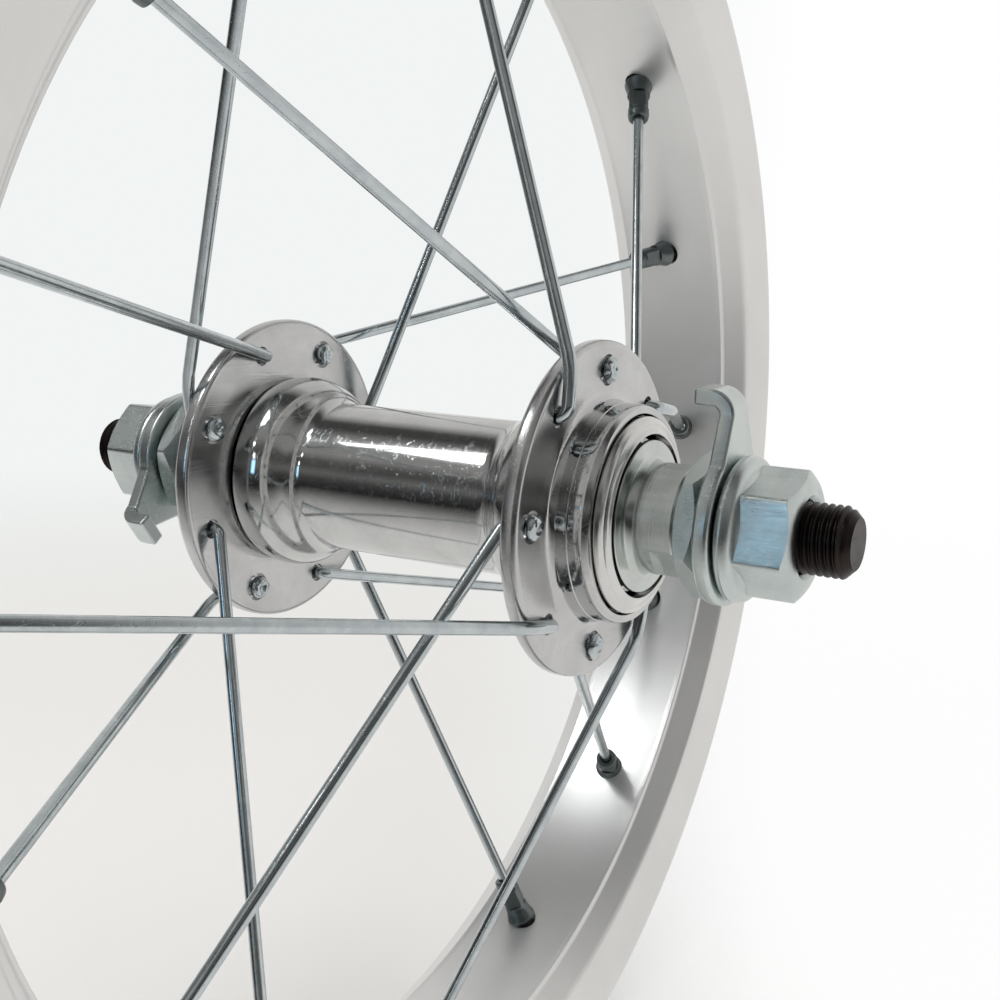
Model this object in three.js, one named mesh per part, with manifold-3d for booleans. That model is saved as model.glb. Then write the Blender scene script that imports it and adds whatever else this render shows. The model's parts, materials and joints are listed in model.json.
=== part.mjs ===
// A small spoked bicycle front wheel, bare of its tyre: an alloy box rim, a plated steel hub on loose
// ball bearings, sixteen spokes with their nipples, and a solid axle with nuts and hook washers.
//
// Frame: millimetres, origin at the wheel's centre, +Y along the axle, +Z up. With +X as the way the
// wheel travels, the left end of the axle is at +Y and the right end is at -Y.
// An angle round the wheel is counted from the top, anticlockwise as seen from the right end.

import * as THREE from 'three';
import { mergeVertices } from 'three/addons/utils/BufferGeometryUtils.js';
import Module from 'manifold-3d';

const wasm = await Module();
wasm.setup();

// ---- driving dimensions -------------------------------------------------------------------------

const RUN_GAP = 0.3;                // space left between two pieces that rest on each other

const SPOKES_PER_SIDE = 8;
const SPOKE_STEP = 360 / SPOKES_PER_SIDE;
const HUB_WIND_UP = -2;             // turn of the hub against the rim, left by the spokes' pull

const RIM_RADIUS = 108;             // outer edge, for a tyre of the 203 mm bead seat class
const RIM_HALF_WIDTH = 13.4;
const BEAD_SEAT_RADIUS = 101.5;
const SPOKE_BED_RADIUS = 90.4;
const SPOKE_BED_HALF_WIDTH = 9.1;
const RIM_SIDE_FOOT = 93.7;         // radius at which the side walls start
const RIM_WALL = 1.8;
const RIM_LIP = 1.7;                // thickness of the two lips beside the tyre channel
const RIM_SECTION_MIDDLE = 96;      // radius of the middle of the box section
const CHANNEL_FLOOR_RADIUS = 100;
const VALVE_HOLE_ANGLE = 78.75;
const VALVE_HOLE_RADIUS = 4.2;
const ACCESS_HOLE_RADIUS = 4.2;     // holes in the channel's floor, for the tool that turns a nipple
const NIPPLE_OFFSET = 1;            // nipple holes stand this far to their own side of the middle

const FLANGE_RADIUS = 23.1;
const FLANGE_THICKNESS = 2.6;
const FLANGE_MIDDLE = 27;           // distance of each flange from the wheel's middle plane
const HOLE_CIRCLE_RADIUS = 19.1;
const SPOKE_HOLE_RADIUS = 1.45;
const HOUSING_RADIUS = 15;          // outside of the bearing housing
const HOUSING_BORE = 13.6;
const HOUSING_END = 34;
const FLANGE_FLOOR_BORE = 9.8;
const FLANGE_FLOOR = 1.3;           // the floor's inside face, counted from the flange's inner face
const SHELL_TUBE_RADIUS = 11;
const SHELL_BELL_RADIUS = 14;
const SHELL_WALL = 1.3;

const SPOKE_RADIUS = 0.9;
const SPOKE_BEND_RADIUS = 1.7;
const SPOKE_BEND_REACH = 1.3;       // from the flange's face to the corner of the spoke's middle line
const EDGE_CROSSING = 6.4;          // from the spoke hole to where the spoke crosses the flange's edge
const SPOKE_HEAD_RADIUS = 1.8;
const SPOKE_HEAD_HEIGHT = 1.3;
const SPOKE_HEAD_PROUD = 0.8;       // how far a head stands out of its seat in the flange
const SPOKE_IN_NIPPLE = 2.5;        // how far a spoke runs on past the rim's spoke bed
const NIPPLE_RADIUS = 2;
const NIPPLE_HOLE_RADIUS = NIPPLE_RADIUS + 0.4;
const NIPPLE_BORE = 1.25;
const NIPPLE_START = -8.2;          // the nipple's ends, counted outwards from the spoke bed
const NIPPLE_END = 5.6;

const AXLE_RADIUS = 4.65;
const AXLE_HALF_LENGTH = 64;
const AXLE_CHAMFER = 1.3;
const THREAD_BORE = AXLE_RADIUS + 0.35;

const BALL_COUNT = 9;
const BALL_RADIUS = 2.38;           // 3/16 inch balls
const BALL_CIRCLE_RADIUS = 8.6;
const BALL_PLANE = 31.2;            // distance of each ball row from the middle plane
const RACE_RADIUS = BALL_RADIUS + RUN_GAP;
const CUP_END = 33.4;
const CAP_END = 35.5;
const CAGE_HALF_WIDTH = 0.6;
const CAGE_CIRCLE_RADIUS = 10;

const CONE_BODY_RADIUS = 7.5;
const CONE_SHIELD_RADIUS = 10.3;
const CONE_SHIELD_END = 35.7;
const CONE_FLATS_ACROSS = 13.4;
const CONE_FLATS_LENGTH = 4.6;
const CONE_FLATS_ANGLE = -38;
const CONE_END = 42.3;
const LOCKNUT_ACROSS = 17;
const LOCKNUT_THICKNESS = 3;
const WASHER_THICKNESS = 2.2;
const WASHER_RADIUS = 10.3;
const NUT_ACROSS = 15;
const NUT_FLANGE_RADIUS = 9.6;
const NUT_FLANGE_THICKNESS = 2.5;
const NUT_HEIGHT = 9.4;

const FLANGE_IN = FLANGE_MIDDLE - FLANGE_THICKNESS / 2;
const FLANGE_OUT = FLANGE_MIDDLE + FLANGE_THICKNESS / 2;
const LOCKNUT_START = CONE_END + RUN_GAP;
const WASHER_START = LOCKNUT_START + LOCKNUT_THICKNESS + RUN_GAP;
const NUT_START = WASHER_START + WASHER_THICKNESS + RUN_GAP;

// angles round the axle at which each end's hook points and a flat of each nut faces
const HOOK_ANGLES = { right: 3, left: 127 };
const NUT_ANGLES = { right: 20, left: -7 };
const LOCKNUT_ANGLES = { right: 19, left: -12 };
const ENDS = { right: -1, left: 1 };

// ---- materials ----------------------------------------------------------------------------------

const metal = (color, roughness) => new THREE.MeshStandardMaterial({ color, roughness, metalness: 1 });
const RIM_ALLOY = metal(0xc9c8c3, 0.42);
const HUB_PLATE = metal(0xb4b1ae, 0.16);
const ZINC_PLATE = metal(0xa3adab, 0.34);
const SPOKE_ZINC = metal(0x9fb0b4, 0.28);
const NIPPLE_PLATE = metal(0x687070, 0.4);
const AXLE_BLACK = metal(0x2a2524, 0.5);
const BALL_STEEL = metal(0xc4c6c8, 0.12);

// ---- helpers ------------------------------------------------------------------------------------

const deg = THREE.MathUtils.degToRad;

// a point at a radius and an angle round the wheel, at height y along the axle
function around(radius, angle, y) {
  return new THREE.Vector3(-radius * Math.sin(deg(angle)), y, radius * Math.cos(deg(angle)));
}

// a geometry's surface as a manifold solid, its shared vertices merged
function solid(geometry) {
  const bare = geometry.clone();
  bare.deleteAttribute('normal');
  bare.deleteAttribute('uv');
  const merged = mergeVertices(bare, 1e-5);
  const mesh = new wasm.Mesh({
    numProp: 3,
    vertProperties: new Float32Array(merged.attributes.position.array),
    triVerts: new Uint32Array(merged.index.array),
  });
  return new wasm.Manifold(mesh);
}

function geometryOf(manifold) {
  const { vertProperties, triVerts } = manifold.getMesh();
  const geometry = new THREE.BufferGeometry();
  geometry.setAttribute('position', new THREE.BufferAttribute(vertProperties, 3));
  geometry.setIndex(new THREE.BufferAttribute(triVerts, 1));
  geometry.computeVertexNormals();
  return geometry;
}

// a ring of revolution about the axle, from a closed outline of [radius, height] points that runs
// up its outer side
function ring(outline, segments) {
  const points = [...outline, outline[0]].map(([radius, height]) => new THREE.Vector2(radius, height));
  return new THREE.LatheGeometry(points, segments);
}

// points of an arc in the outline's plane, from one angle to the other
function arc(radius0, height0, size, from, to, steps) {
  return Array.from({ length: steps + 1 }, (unused, i) => {
    const angle = deg(from + (to - from) * i / steps);
    return [radius0 + size * Math.cos(angle), height0 + size * Math.sin(angle)];
  });
}

// a prism with a regular outline, its flats square to the angles 0, step, 2 step ...
function prism(across, sides, from, to) {
  const radius = across / 2 / Math.cos(Math.PI / sides);
  const geometry = new THREE.CylinderGeometry(radius, radius, to - from, sides);
  geometry.rotateY(Math.PI / sides);
  geometry.translate(0, (from + to) / 2, 0);
  return geometry;
}

// a round bar whose middle lies at `at`, along the unit vector `along`
function bar(radius, length, at, along, sides) {
  const geometry = new THREE.CylinderGeometry(radius, radius, length, sides);
  const turn = new THREE.Quaternion().setFromUnitVectors(new THREE.Vector3(0, 1, 0), along);
  geometry.applyQuaternion(turn);
  geometry.translate(at.x, at.y, at.z);
  return geometry;
}

// turns a piece made for the left end over to the end that it belongs to
function toEnd(geometry, end) {
  return ENDS[end] > 0 ? geometry : geometry.rotateX(Math.PI);
}

// turns a piece about the axle, by an angle counted as angles round the wheel are
function turned(geometry, angle) {
  return geometry.rotateY(-deg(angle));
}

const wheel = new THREE.Group();

function piece(name, geometry, material) {
  const mesh = new THREE.Mesh(geometry, material);
  mesh.name = name;
  wheel.add(mesh);
}

// ---- spokes: where each one starts and ends ------------------------------------------------------

// On each side every second spoke has its elbow outside the flange and leans one way, and the others
// have their elbow inside and lean the other way, so that each crosses one neighbour. The left side's
// holes lie midway between the right side's.
function spokePlan() {
  const plan = [];
  for (const [end, side] of Object.entries(ENDS)) {
    for (let i = 0; i < SPOKES_PER_SIDE; i += 1) {
      const hole = i * SPOKE_STEP + (side > 0 ? SPOKE_STEP / 2 : 0);
      const elbowOut = i % 2 === 1;
      const lean = elbowOut ? -SPOKE_STEP : SPOKE_STEP;
      plan.push({ name: `${end}_${i + 1}`, side, hole, elbowOut, rim: hole + lean });
    }
  }
  return plan;
}

// A spoke's middle line has a corner where its shank turns into its run. A spoke with its elbow outside
// has a second, slight corner where it passes over the flange's edge.
function spokeLine(spoke) {
  const away = spoke.elbowOut ? spoke.side : -spoke.side;
  const shank = new THREE.Vector3(0, away, 0);
  const end = around(SPOKE_BED_RADIUS, spoke.rim, spoke.side * NIPPLE_OFFSET);
  const hole = around(HOLE_CIRCLE_RADIUS, spoke.hole + HUB_WIND_UP, spoke.side * FLANGE_MIDDLE);
  const corner = hole.clone().addScaledVector(shank, FLANGE_THICKNESS / 2 + SPOKE_BEND_REACH);
  let over = corner;
  if (spoke.elbowOut) {
    const level = end.clone().sub(hole).setY(0).normalize();
    over = hole.clone().addScaledVector(level, EDGE_CROSSING);
    over.y = spoke.side * (FLANGE_OUT + RUN_GAP + SPOKE_RADIUS + 0.1);
  }
  const first = (spoke.elbowOut ? over : end).clone().sub(corner).normalize();
  const run = end.clone().sub(over).normalize();
  return { shank, hole, corner, over, first, run, end };
}

const plan = spokePlan().map((spoke) => ({ ...spoke, ...spokeLine(spoke) }));

// ---- rim -----------------------------------------------------------------------------------------

const RIM_SEGMENTS = 48;

// mirrors the upper half of an outline below the middle plane, to close it
function mirrored(half) {
  const lower = half.filter(([, height]) => height > 0).map(([radius, height]) => [radius, -height]);
  return [...half, ...lower.reverse()];
}

function rim() {
  const w = RIM_HALF_WIDTH;
  const innerFace = w - RIM_LIP;
  const outside = mirrored([
    [BEAD_SEAT_RADIUS - 1.8, 0],
    [BEAD_SEAT_RADIUS - 1.6, 6],
    [BEAD_SEAT_RADIUS, 8.8],
    [BEAD_SEAT_RADIUS, innerFace],
    [BEAD_SEAT_RADIUS + 4.2, innerFace],
    [RIM_RADIUS - 0.8, w - 2.1],
    [RIM_RADIUS, w - 1.3],
    [RIM_RADIUS - 0.7, w],
    [RIM_SIDE_FOOT, w],
    [SPOKE_BED_RADIUS + 0.1, SPOKE_BED_HALF_WIDTH],
    [SPOKE_BED_RADIUS, 0],
  ]);
  const hollow = mirrored([
    [BEAD_SEAT_RADIUS - 3.4, 0],
    [BEAD_SEAT_RADIUS - 3.2, 5.6],
    [BEAD_SEAT_RADIUS - 2, 8.2],
    [BEAD_SEAT_RADIUS - 2, w - RIM_WALL],
    [RIM_SIDE_FOOT + 1, w - RIM_WALL],
    [SPOKE_BED_RADIUS + RIM_WALL, 0],
  ]);
  let body = solid(ring(outside, RIM_SEGMENTS)).subtract(solid(ring(hollow, RIM_SEGMENTS)));
  for (const { rim: angle, side, end, run } of plan) {
    const access = around(CHANNEL_FLOOR_RADIUS, angle, side * NIPPLE_OFFSET);
    body = body.subtract(solid(bar(NIPPLE_HOLE_RADIUS, 9, end, run, 8)));
    body = body.subtract(solid(bar(ACCESS_HOLE_RADIUS, 8, access, around(1, angle, 0), 8)));
  }
  const valve = around(RIM_SECTION_MIDDLE, VALVE_HOLE_ANGLE, 0);
  body = body.subtract(solid(bar(VALVE_HOLE_RADIUS, 16, valve, around(1, VALVE_HOLE_ANGLE, 0), 12)));
  piece('rim', geometryOf(body), RIM_ALLOY);
}

// ---- hub: shell, flanges, bearing cups and dust caps ------------------------------------------------

const HUB_SEGMENTS = 32;

// the tube between the flanges, drawn out at each end into a round-shouldered bell
function hubShell() {
  const mouth = FLANGE_IN - RUN_GAP;
  const bell = (radius, shrink) => [
    [SHELL_TUBE_RADIUS - shrink, mouth - 8],
    [radius - 2.6, mouth - 5],
    [radius - 0.9, mouth - 2.4],
    [radius, mouth - 0.9],
    [radius, mouth],
  ];
  const upperOut = bell(SHELL_BELL_RADIUS, 0);
  const upperIn = bell(SHELL_BELL_RADIUS - SHELL_WALL, SHELL_WALL);
  const below = (points) => points.map(([radius, height]) => [radius, -height]);
  const outline = [
    ...below(upperOut).reverse(),
    ...upperOut,
    ...[...upperIn].reverse(),
    ...below(upperIn),
  ];
  piece('hub_shell', ring(outline, 24), HUB_PLATE);
}

function hubFlange(end) {
  const spigot = HOUSING_BORE - 1.8;
  const floor = FLANGE_IN + FLANGE_FLOOR;
  const outline = [
    [FLANGE_FLOOR_BORE, FLANGE_IN - 1.1],
    [spigot, FLANGE_IN - 1.1],
    [spigot, FLANGE_IN],
    [FLANGE_RADIUS - 0.8, FLANGE_IN],
    [FLANGE_RADIUS, FLANGE_IN + 0.7],
    [FLANGE_RADIUS, FLANGE_OUT - 0.7],
    [FLANGE_RADIUS - 0.8, FLANGE_OUT],
    [HOUSING_RADIUS + 0.9, FLANGE_OUT],
    [HOUSING_RADIUS, FLANGE_OUT + 0.9],
    [HOUSING_RADIUS, HOUSING_END - 1.3],
    [HOUSING_RADIUS - 1, HOUSING_END],
    [HOUSING_BORE, HOUSING_END],
    [HOUSING_BORE, floor],
    [FLANGE_FLOOR_BORE, floor],
  ];
  let body = solid(toEnd(ring(outline, HUB_SEGMENTS), end));
  const seatDepth = SPOKE_HEAD_HEIGHT - SPOKE_HEAD_PROUD + RUN_GAP;
  for (const { hole, side, shank } of plan.filter((line) => line.side === ENDS[end])) {
    const seat = hole.clone().addScaledVector(shank, seatDepth / 2 - FLANGE_THICKNESS / 2 - 0.5);
    body = body.subtract(solid(bar(SPOKE_HOLE_RADIUS, 8, hole, shank, 8)));
    body = body.subtract(solid(bar(SPOKE_HEAD_RADIUS + 0.35, seatDepth + 1, seat, shank, 8)));
  }
  piece(`hub_flange_${end}`, geometryOf(body), HUB_PLATE);
}

function bearingCup(end) {
  const outer = HOUSING_BORE - RUN_GAP;
  const floor = FLANGE_IN + FLANGE_FLOOR + RUN_GAP;
  const outline = [
    [BALL_CIRCLE_RADIUS - 0.4, floor],
    [outer, floor],
    [outer, CUP_END],
    [BALL_CIRCLE_RADIUS + RACE_RADIUS + 0.2, CUP_END],
    ...arc(BALL_CIRCLE_RADIUS, BALL_PLANE, RACE_RADIUS, 0, -90, 3),
    [BALL_CIRCLE_RADIUS - 0.4, BALL_PLANE - RACE_RADIUS],
  ];
  piece(`bearing_cup_${end}`, toEnd(ring(outline, 20), end), BALL_STEEL);
}

function dustCap(end) {
  const outer = HOUSING_BORE - RUN_GAP;
  const inner = CONE_SHIELD_RADIUS + 0.8;
  const outline = [
    [inner, CAP_END - 1.2],
    [inner + 0.6, CAP_END - 1.7],
    [outer, CAP_END - 1.7],
    [outer, CAP_END - 1.1],
    [outer - 0.8, CAP_END - 0.4],
    [inner, CAP_END],
  ];
  piece(`dust_cap_${end}`, toEnd(ring(outline, 24), end), HUB_PLATE);
}

// the balls and the pressed cage that keeps them apart, as the one set that is handled on the bench
function ballSet(end) {
  const cageInner = CAGE_CIRCLE_RADIUS - CAGE_HALF_WIDTH;
  const cageOuter = CAGE_CIRCLE_RADIUS + CAGE_HALF_WIDTH;
  const cage = [
    [cageInner, BALL_PLANE + 1.4],
    [cageOuter, BALL_PLANE + 1.4],
    [cageOuter, BALL_PLANE + 2.2],
    [cageInner, BALL_PLANE + 2.2],
  ];
  let body = solid(ring(cage, 18));
  for (let i = 0; i < BALL_COUNT; i += 1) {
    const at = around(BALL_CIRCLE_RADIUS, i * 360 / BALL_COUNT, BALL_PLANE);
    const ball = new THREE.OctahedronGeometry(BALL_RADIUS, 1);
    ball.translate(at.x, at.y, at.z);
    body = body.add(solid(ball));
  }
  piece(`ball_set_${end}`, toEnd(geometryOf(body), end), BALL_STEEL);
}

// ---- axle and what is threaded on it ---------------------------------------------------------------

function axle() {
  const inner = AXLE_RADIUS - AXLE_CHAMFER;
  const outline = [
    [0, -AXLE_HALF_LENGTH],
    [inner, -AXLE_HALF_LENGTH],
    [AXLE_RADIUS, AXLE_CHAMFER - AXLE_HALF_LENGTH],
    [AXLE_RADIUS, AXLE_HALF_LENGTH - AXLE_CHAMFER],
    [inner, AXLE_HALF_LENGTH],
    [0, AXLE_HALF_LENGTH],
  ];
  const points = outline.map(([radius, height]) => new THREE.Vector2(radius, height));
  piece('axle', new THREE.LatheGeometry(points, 24), AXLE_BLACK);
}

function cone(end) {
  const nose = BALL_CIRCLE_RADIUS - RACE_RADIUS;
  const outline = [
    [THREAD_BORE, BALL_PLANE - 2.4],
    [nose, BALL_PLANE - 2.4],
    ...arc(BALL_CIRCLE_RADIUS, BALL_PLANE, RACE_RADIUS, 180, 90, 3),
    [BALL_CIRCLE_RADIUS, CONE_SHIELD_END - 0.7],
    [CONE_SHIELD_RADIUS, CONE_SHIELD_END - 0.7],
    [CONE_SHIELD_RADIUS, CONE_SHIELD_END],
    [CONE_BODY_RADIUS + 1, CONE_SHIELD_END],
    [CONE_BODY_RADIUS, CONE_SHIELD_END + 1.3],
    [CONE_BODY_RADIUS, CONE_END],
    [THREAD_BORE, CONE_END],
  ];
  let body = solid(ring(outline, 20));
  for (const side of [-1, 1]) {
    const cut = new THREE.BoxGeometry(20, CONE_FLATS_LENGTH + 1, 4);
    cut.translate(0, 0, side * (CONE_FLATS_ACROSS / 2 + 2));
    cut.rotateY(deg(CONE_FLATS_ANGLE));
    cut.translate(0, CONE_END + (1 - CONE_FLATS_LENGTH) / 2, 0);
    body = body.subtract(solid(cut));
  }
  piece(`cone_${end}`, toEnd(geometryOf(body), end), ZINC_PLATE);
}

// a bore tool that runs well past both faces of what it cuts
const threadBore = (from, to) => solid(prism(THREAD_BORE * 2, 16, from - 1, to + 1));

// a turned blank that rounds a hexagon's corners off at one or both ends
function cornerBlank(across, from, to, atStart, atEnd) {
  const full = across / 2 / Math.cos(Math.PI / 6) + 0.1;
  const face = across / 2 - 0.3;
  const drop = (full - face) * Math.tan(deg(30));
  const outline = [
    [0, from],
    [atStart ? face : full, from],
    [full, from + drop],
    [full, to - drop],
    [atEnd ? face : full, to],
    [0, to],
  ];
  const points = outline.map(([radius, height]) => new THREE.Vector2(radius, height));
  return solid(new THREE.LatheGeometry(points, 24));
}

function locknut(end) {
  const from = LOCKNUT_START;
  const to = LOCKNUT_START + LOCKNUT_THICKNESS;
  const body = solid(prism(LOCKNUT_ACROSS, 6, from, to))
    .intersect(cornerBlank(LOCKNUT_ACROSS, from, to, true, true))
    .subtract(threadBore(from, to));
  piece(`locknut_${end}`, turned(toEnd(geometryOf(body), end), LOCKNUT_ANGLES[end]), ZINC_PLATE);
}

// a flat ring with a tongue that is bent towards the hub, to hook into the fork end
function hookWasher(end) {
  const root = 5.2;                 // half widths of the tongue, where it leaves the ring and at its tip
  const tip = 2.5;
  const bendInner = 1;
  const bendAt = 14.4;
  const legEnd = WASHER_START - 2.4;
  const plate = new THREE.Shape();
  const leave = Math.acos(root / WASHER_RADIUS);
  plate.moveTo(root, WASHER_RADIUS * Math.sin(leave));
  plate.lineTo(tip, bendAt);
  plate.lineTo(-tip, bendAt);
  plate.lineTo(-root, WASHER_RADIUS * Math.sin(leave));
  plate.absarc(0, 0, WASHER_RADIUS, Math.PI - leave, 2 * Math.PI + leave, false);
  const flat = new THREE.ExtrudeGeometry(plate, {
    depth: WASHER_THICKNESS,
    bevelEnabled: false,
    curveSegments: 24,
  });
  flat.rotateX(Math.PI / 2);
  flat.translate(0, WASHER_START + WASHER_THICKNESS, 0);

  const leg = new THREE.Shape();
  const outer = bendInner + WASHER_THICKNESS;
  leg.moveTo(bendAt - 1, WASHER_START);
  leg.lineTo(bendAt, WASHER_START);
  leg.absarc(bendAt, WASHER_START - bendInner, bendInner, Math.PI / 2, 0, true);
  leg.lineTo(bendAt + bendInner, legEnd);
  leg.lineTo(bendAt + outer, legEnd);
  leg.lineTo(bendAt + outer, WASHER_START - bendInner);
  leg.absarc(bendAt, WASHER_START - bendInner, outer, 0, Math.PI / 2, false);
  leg.lineTo(bendAt - 1, WASHER_START + WASHER_THICKNESS);
  const hook = new THREE.ExtrudeGeometry(leg, { depth: 2 * tip, bevelEnabled: false, curveSegments: 3 });
  hook.translate(0, 0, -tip);
  hook.rotateY(-Math.PI / 2);

  const bore = threadBore(WASHER_START, WASHER_START + WASHER_THICKNESS);
  const body = solid(flat).add(solid(hook)).subtract(bore);
  const upright = toEnd(geometryOf(body), end);
  const flip = ENDS[end] > 0 ? 0 : 180;
  piece(`hook_washer_${end}`, turned(upright, HOOK_ANGLES[end] + flip), ZINC_PLATE);
}

function axleNut(end) {
  const from = NUT_START;
  const to = NUT_START + NUT_HEIGHT;
  const skirt = [
    [0, from],
    [NUT_FLANGE_RADIUS, from],
    [NUT_FLANGE_RADIUS, from + 0.9],
    [NUT_FLANGE_RADIUS - 0.5, from + 1.6],
    [NUT_ACROSS / 2, from + NUT_FLANGE_THICKNESS],
    [0, from + NUT_FLANGE_THICKNESS],
  ];
  const points = skirt.map(([radius, height]) => new THREE.Vector2(radius, height));
  const body = solid(prism(NUT_ACROSS, 6, from + 0.5, to))
    .intersect(cornerBlank(NUT_ACROSS, from, to, false, true))
    .add(solid(new THREE.LatheGeometry(points, HUB_SEGMENTS)))
    .subtract(threadBore(from, to));
  piece(`axle_nut_${end}`, turned(toEnd(geometryOf(body), end), NUT_ANGLES[end]), ZINC_PLATE);
}

// ---- spokes and nipples ------------------------------------------------------------------------------

// A spoke's middle line: a short shank through the flange, a round elbow, then one straight run.
// Its parameter runs evenly from one of its points to the next.
class SpokePath extends THREE.Curve {
  constructor(line, steps) {
    super();
    const { hole, shank, corner, over, first, run, end } = line;
    const turn = shank.angleTo(first);
    const tangent = SPOKE_BEND_RADIUS * Math.tan(turn / 2);
    const bendStart = corner.clone().addScaledVector(shank, -tangent);
    const inwards = first.clone().addScaledVector(shank, -first.dot(shank)).normalize();
    const centre = bendStart.clone().addScaledVector(inwards, SPOKE_BEND_RADIUS);
    const axis = shank.clone().cross(first).normalize();
    this.points = [hole.clone().addScaledVector(shank, -FLANGE_THICKNESS / 2)];
    for (let i = 0; i <= steps; i += 1) {
      const arm = bendStart.clone().sub(centre).applyAxisAngle(axis, turn * i / steps);
      this.points.push(centre.clone().add(arm));
    }
    if (over !== corner) this.points.push(over);
    this.points.push(end.clone().addScaledVector(run, SPOKE_IN_NIPPLE));
  }

  getPoint(t) {
    const last = this.points.length - 1;
    const index = Math.min(Math.floor(t * last), last - 1);
    return this.points[index].clone().lerp(this.points[index + 1], t * last - index);
  }

  getPointAt(u) {
    return this.getPoint(u);
  }

  getTangentAt(u) {
    const step = 0.02 / this.points.length;
    const before = this.getPoint(Math.max(u - step, 0));
    const after = this.getPoint(Math.min(u + step, 1));
    return after.sub(before).normalize();
  }
}

function circle(radius, sides) {
  const points = Array.from({ length: sides }, (unused, i) => {
    const angle = i / sides * 2 * Math.PI;
    return new THREE.Vector2(radius * Math.cos(angle), radius * Math.sin(angle));
  });
  return new THREE.Shape(points);
}

function spoke(line) {
  const bendSteps = 3;
  const path = new SpokePath(line, bendSteps);
  const wire = new THREE.ExtrudeGeometry(circle(SPOKE_RADIUS, 6), {
    steps: path.points.length - 1,
    extrudePath: path,
  });
  const headMiddle = FLANGE_THICKNESS / 2 + SPOKE_HEAD_PROUD - SPOKE_HEAD_HEIGHT / 2;
  const at = line.hole.clone().addScaledVector(line.shank, -headMiddle);
  const head = bar(SPOKE_HEAD_RADIUS, SPOKE_HEAD_HEIGHT, at, line.shank, 8);
  piece(`spoke_${line.name}`, geometryOf(solid(wire).add(solid(head))), SPOKE_ZINC);
}

function nipple(line) {
  const outline = [
    [NIPPLE_BORE, NIPPLE_START],
    [NIPPLE_RADIUS, NIPPLE_START],
    [NIPPLE_RADIUS, NIPPLE_END - 2.7],
    [NIPPLE_RADIUS + 1, NIPPLE_END - 1.3],
    [NIPPLE_BORE, NIPPLE_END],
  ];
  const geometry = ring(outline, 8);
  const turn = new THREE.Quaternion().setFromUnitVectors(new THREE.Vector3(0, 1, 0), line.run);
  geometry.applyQuaternion(turn);
  geometry.translate(line.end.x, line.end.y, line.end.z);
  piece(`nipple_${line.name}`, geometry, NIPPLE_PLATE);
}

// ---- the assembly -------------------------------------------------------------------------------------

axle();
hubShell();
for (const end of Object.keys(ENDS)) {
  hubFlange(end);
  bearingCup(end);
  dustCap(end);
  ballSet(end);
  cone(end);
  locknut(end);
  hookWasher(end);
  axleNut(end);
}
rim();
plan.forEach(spoke);
plan.forEach(nipple);

export default wheel;
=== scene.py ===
# %% [markdown]
# # A small spoked front wheel, bare of its tyre
# The wheel is an alloy box rim laced to a plated steel hub by sixteen spokes. The hub turns on two rings of
# balls round a solid threaded axle, and each end of the axle carries a cone, a locknut, a hooked washer and
# a nut. The machine part of the model is already settled: it is loaded here as a fixed frame. This script
# gives each of its pieces the finer shape and the finish of the real one, then sets up a plain studio.

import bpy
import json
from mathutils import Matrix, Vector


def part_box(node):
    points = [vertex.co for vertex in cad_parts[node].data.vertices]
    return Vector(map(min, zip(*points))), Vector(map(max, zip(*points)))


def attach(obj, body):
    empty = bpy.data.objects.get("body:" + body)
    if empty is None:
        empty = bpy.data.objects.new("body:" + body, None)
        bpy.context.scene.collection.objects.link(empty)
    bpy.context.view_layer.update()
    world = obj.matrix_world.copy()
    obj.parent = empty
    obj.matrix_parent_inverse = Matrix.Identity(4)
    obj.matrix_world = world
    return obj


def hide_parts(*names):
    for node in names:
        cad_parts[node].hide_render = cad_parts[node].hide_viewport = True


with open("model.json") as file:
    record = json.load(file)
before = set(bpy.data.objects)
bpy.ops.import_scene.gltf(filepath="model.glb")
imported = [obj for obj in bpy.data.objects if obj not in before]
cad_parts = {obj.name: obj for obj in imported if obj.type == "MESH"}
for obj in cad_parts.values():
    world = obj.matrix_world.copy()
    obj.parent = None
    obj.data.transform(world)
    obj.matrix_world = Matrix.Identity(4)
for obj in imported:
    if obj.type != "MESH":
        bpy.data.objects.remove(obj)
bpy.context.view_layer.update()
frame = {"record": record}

# %% Tools
import json
import math

import bmesh
import bpy
from mathutils import Matrix, Vector, noise

# %% [markdown]
# ## Units and driving sizes
# Every shape below is drawn in millimetres and made smaller only when it becomes a Blender object. The outer
# sizes are read from the frame, so that they can't drift from it.
# The wheel's axle lies along Y. An angle round the wheel is counted from the top, anticlockwise as seen from
# the right-hand end, which is the -Y end.

# %% Sizes
MM = 0.001
ENDS = {"right": -1, "left": 1}


def corners_mm(node):
    low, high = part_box(node)
    return low / MM, high / MM


rim_low, rim_high = corners_mm("rim")
flange_high = corners_mm("hub_flange_left")[1]
axle_high = corners_mm("axle")[1]
RIM_RADIUS = rim_high.z
RIM_HALF_WIDTH = rim_high.y
FLANGE_RADIUS = flange_high.z
HOUSING_END = flange_high.y
FLANGE_MIDDLE = 27.0
FLANGE_THICKNESS = 2.6
FLANGE_IN = FLANGE_MIDDLE - FLANGE_THICKNESS / 2
FLANGE_OUT = FLANGE_MIDDLE + FLANGE_THICKNESS / 2
AXLE_HALF_LENGTH = axle_high.y
AXLE_RADIUS = axle_high.z
print(f"rim {2 * RIM_RADIUS:.1f} across, {2 * RIM_HALF_WIDTH:.1f} wide; axle {2 * AXLE_HALF_LENGTH:.0f} long")

# %% [markdown]
# ## Turned outlines
# Most of a wheel is turned: the rim, hub, cones and nuts are all an outline swept once round the axle. They
# could be cylinders with loop cuts, but a spun outline takes fewer steps. `eased` swaps a corner for a short
# curve, as a worn tool would leave it.


# %% Drawing and spinning an outline
MERGE_DISTANCE = 1e-4
EASING_LIMIT = 0.49  # of an edge's length, so that two neighbouring curves never meet


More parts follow.
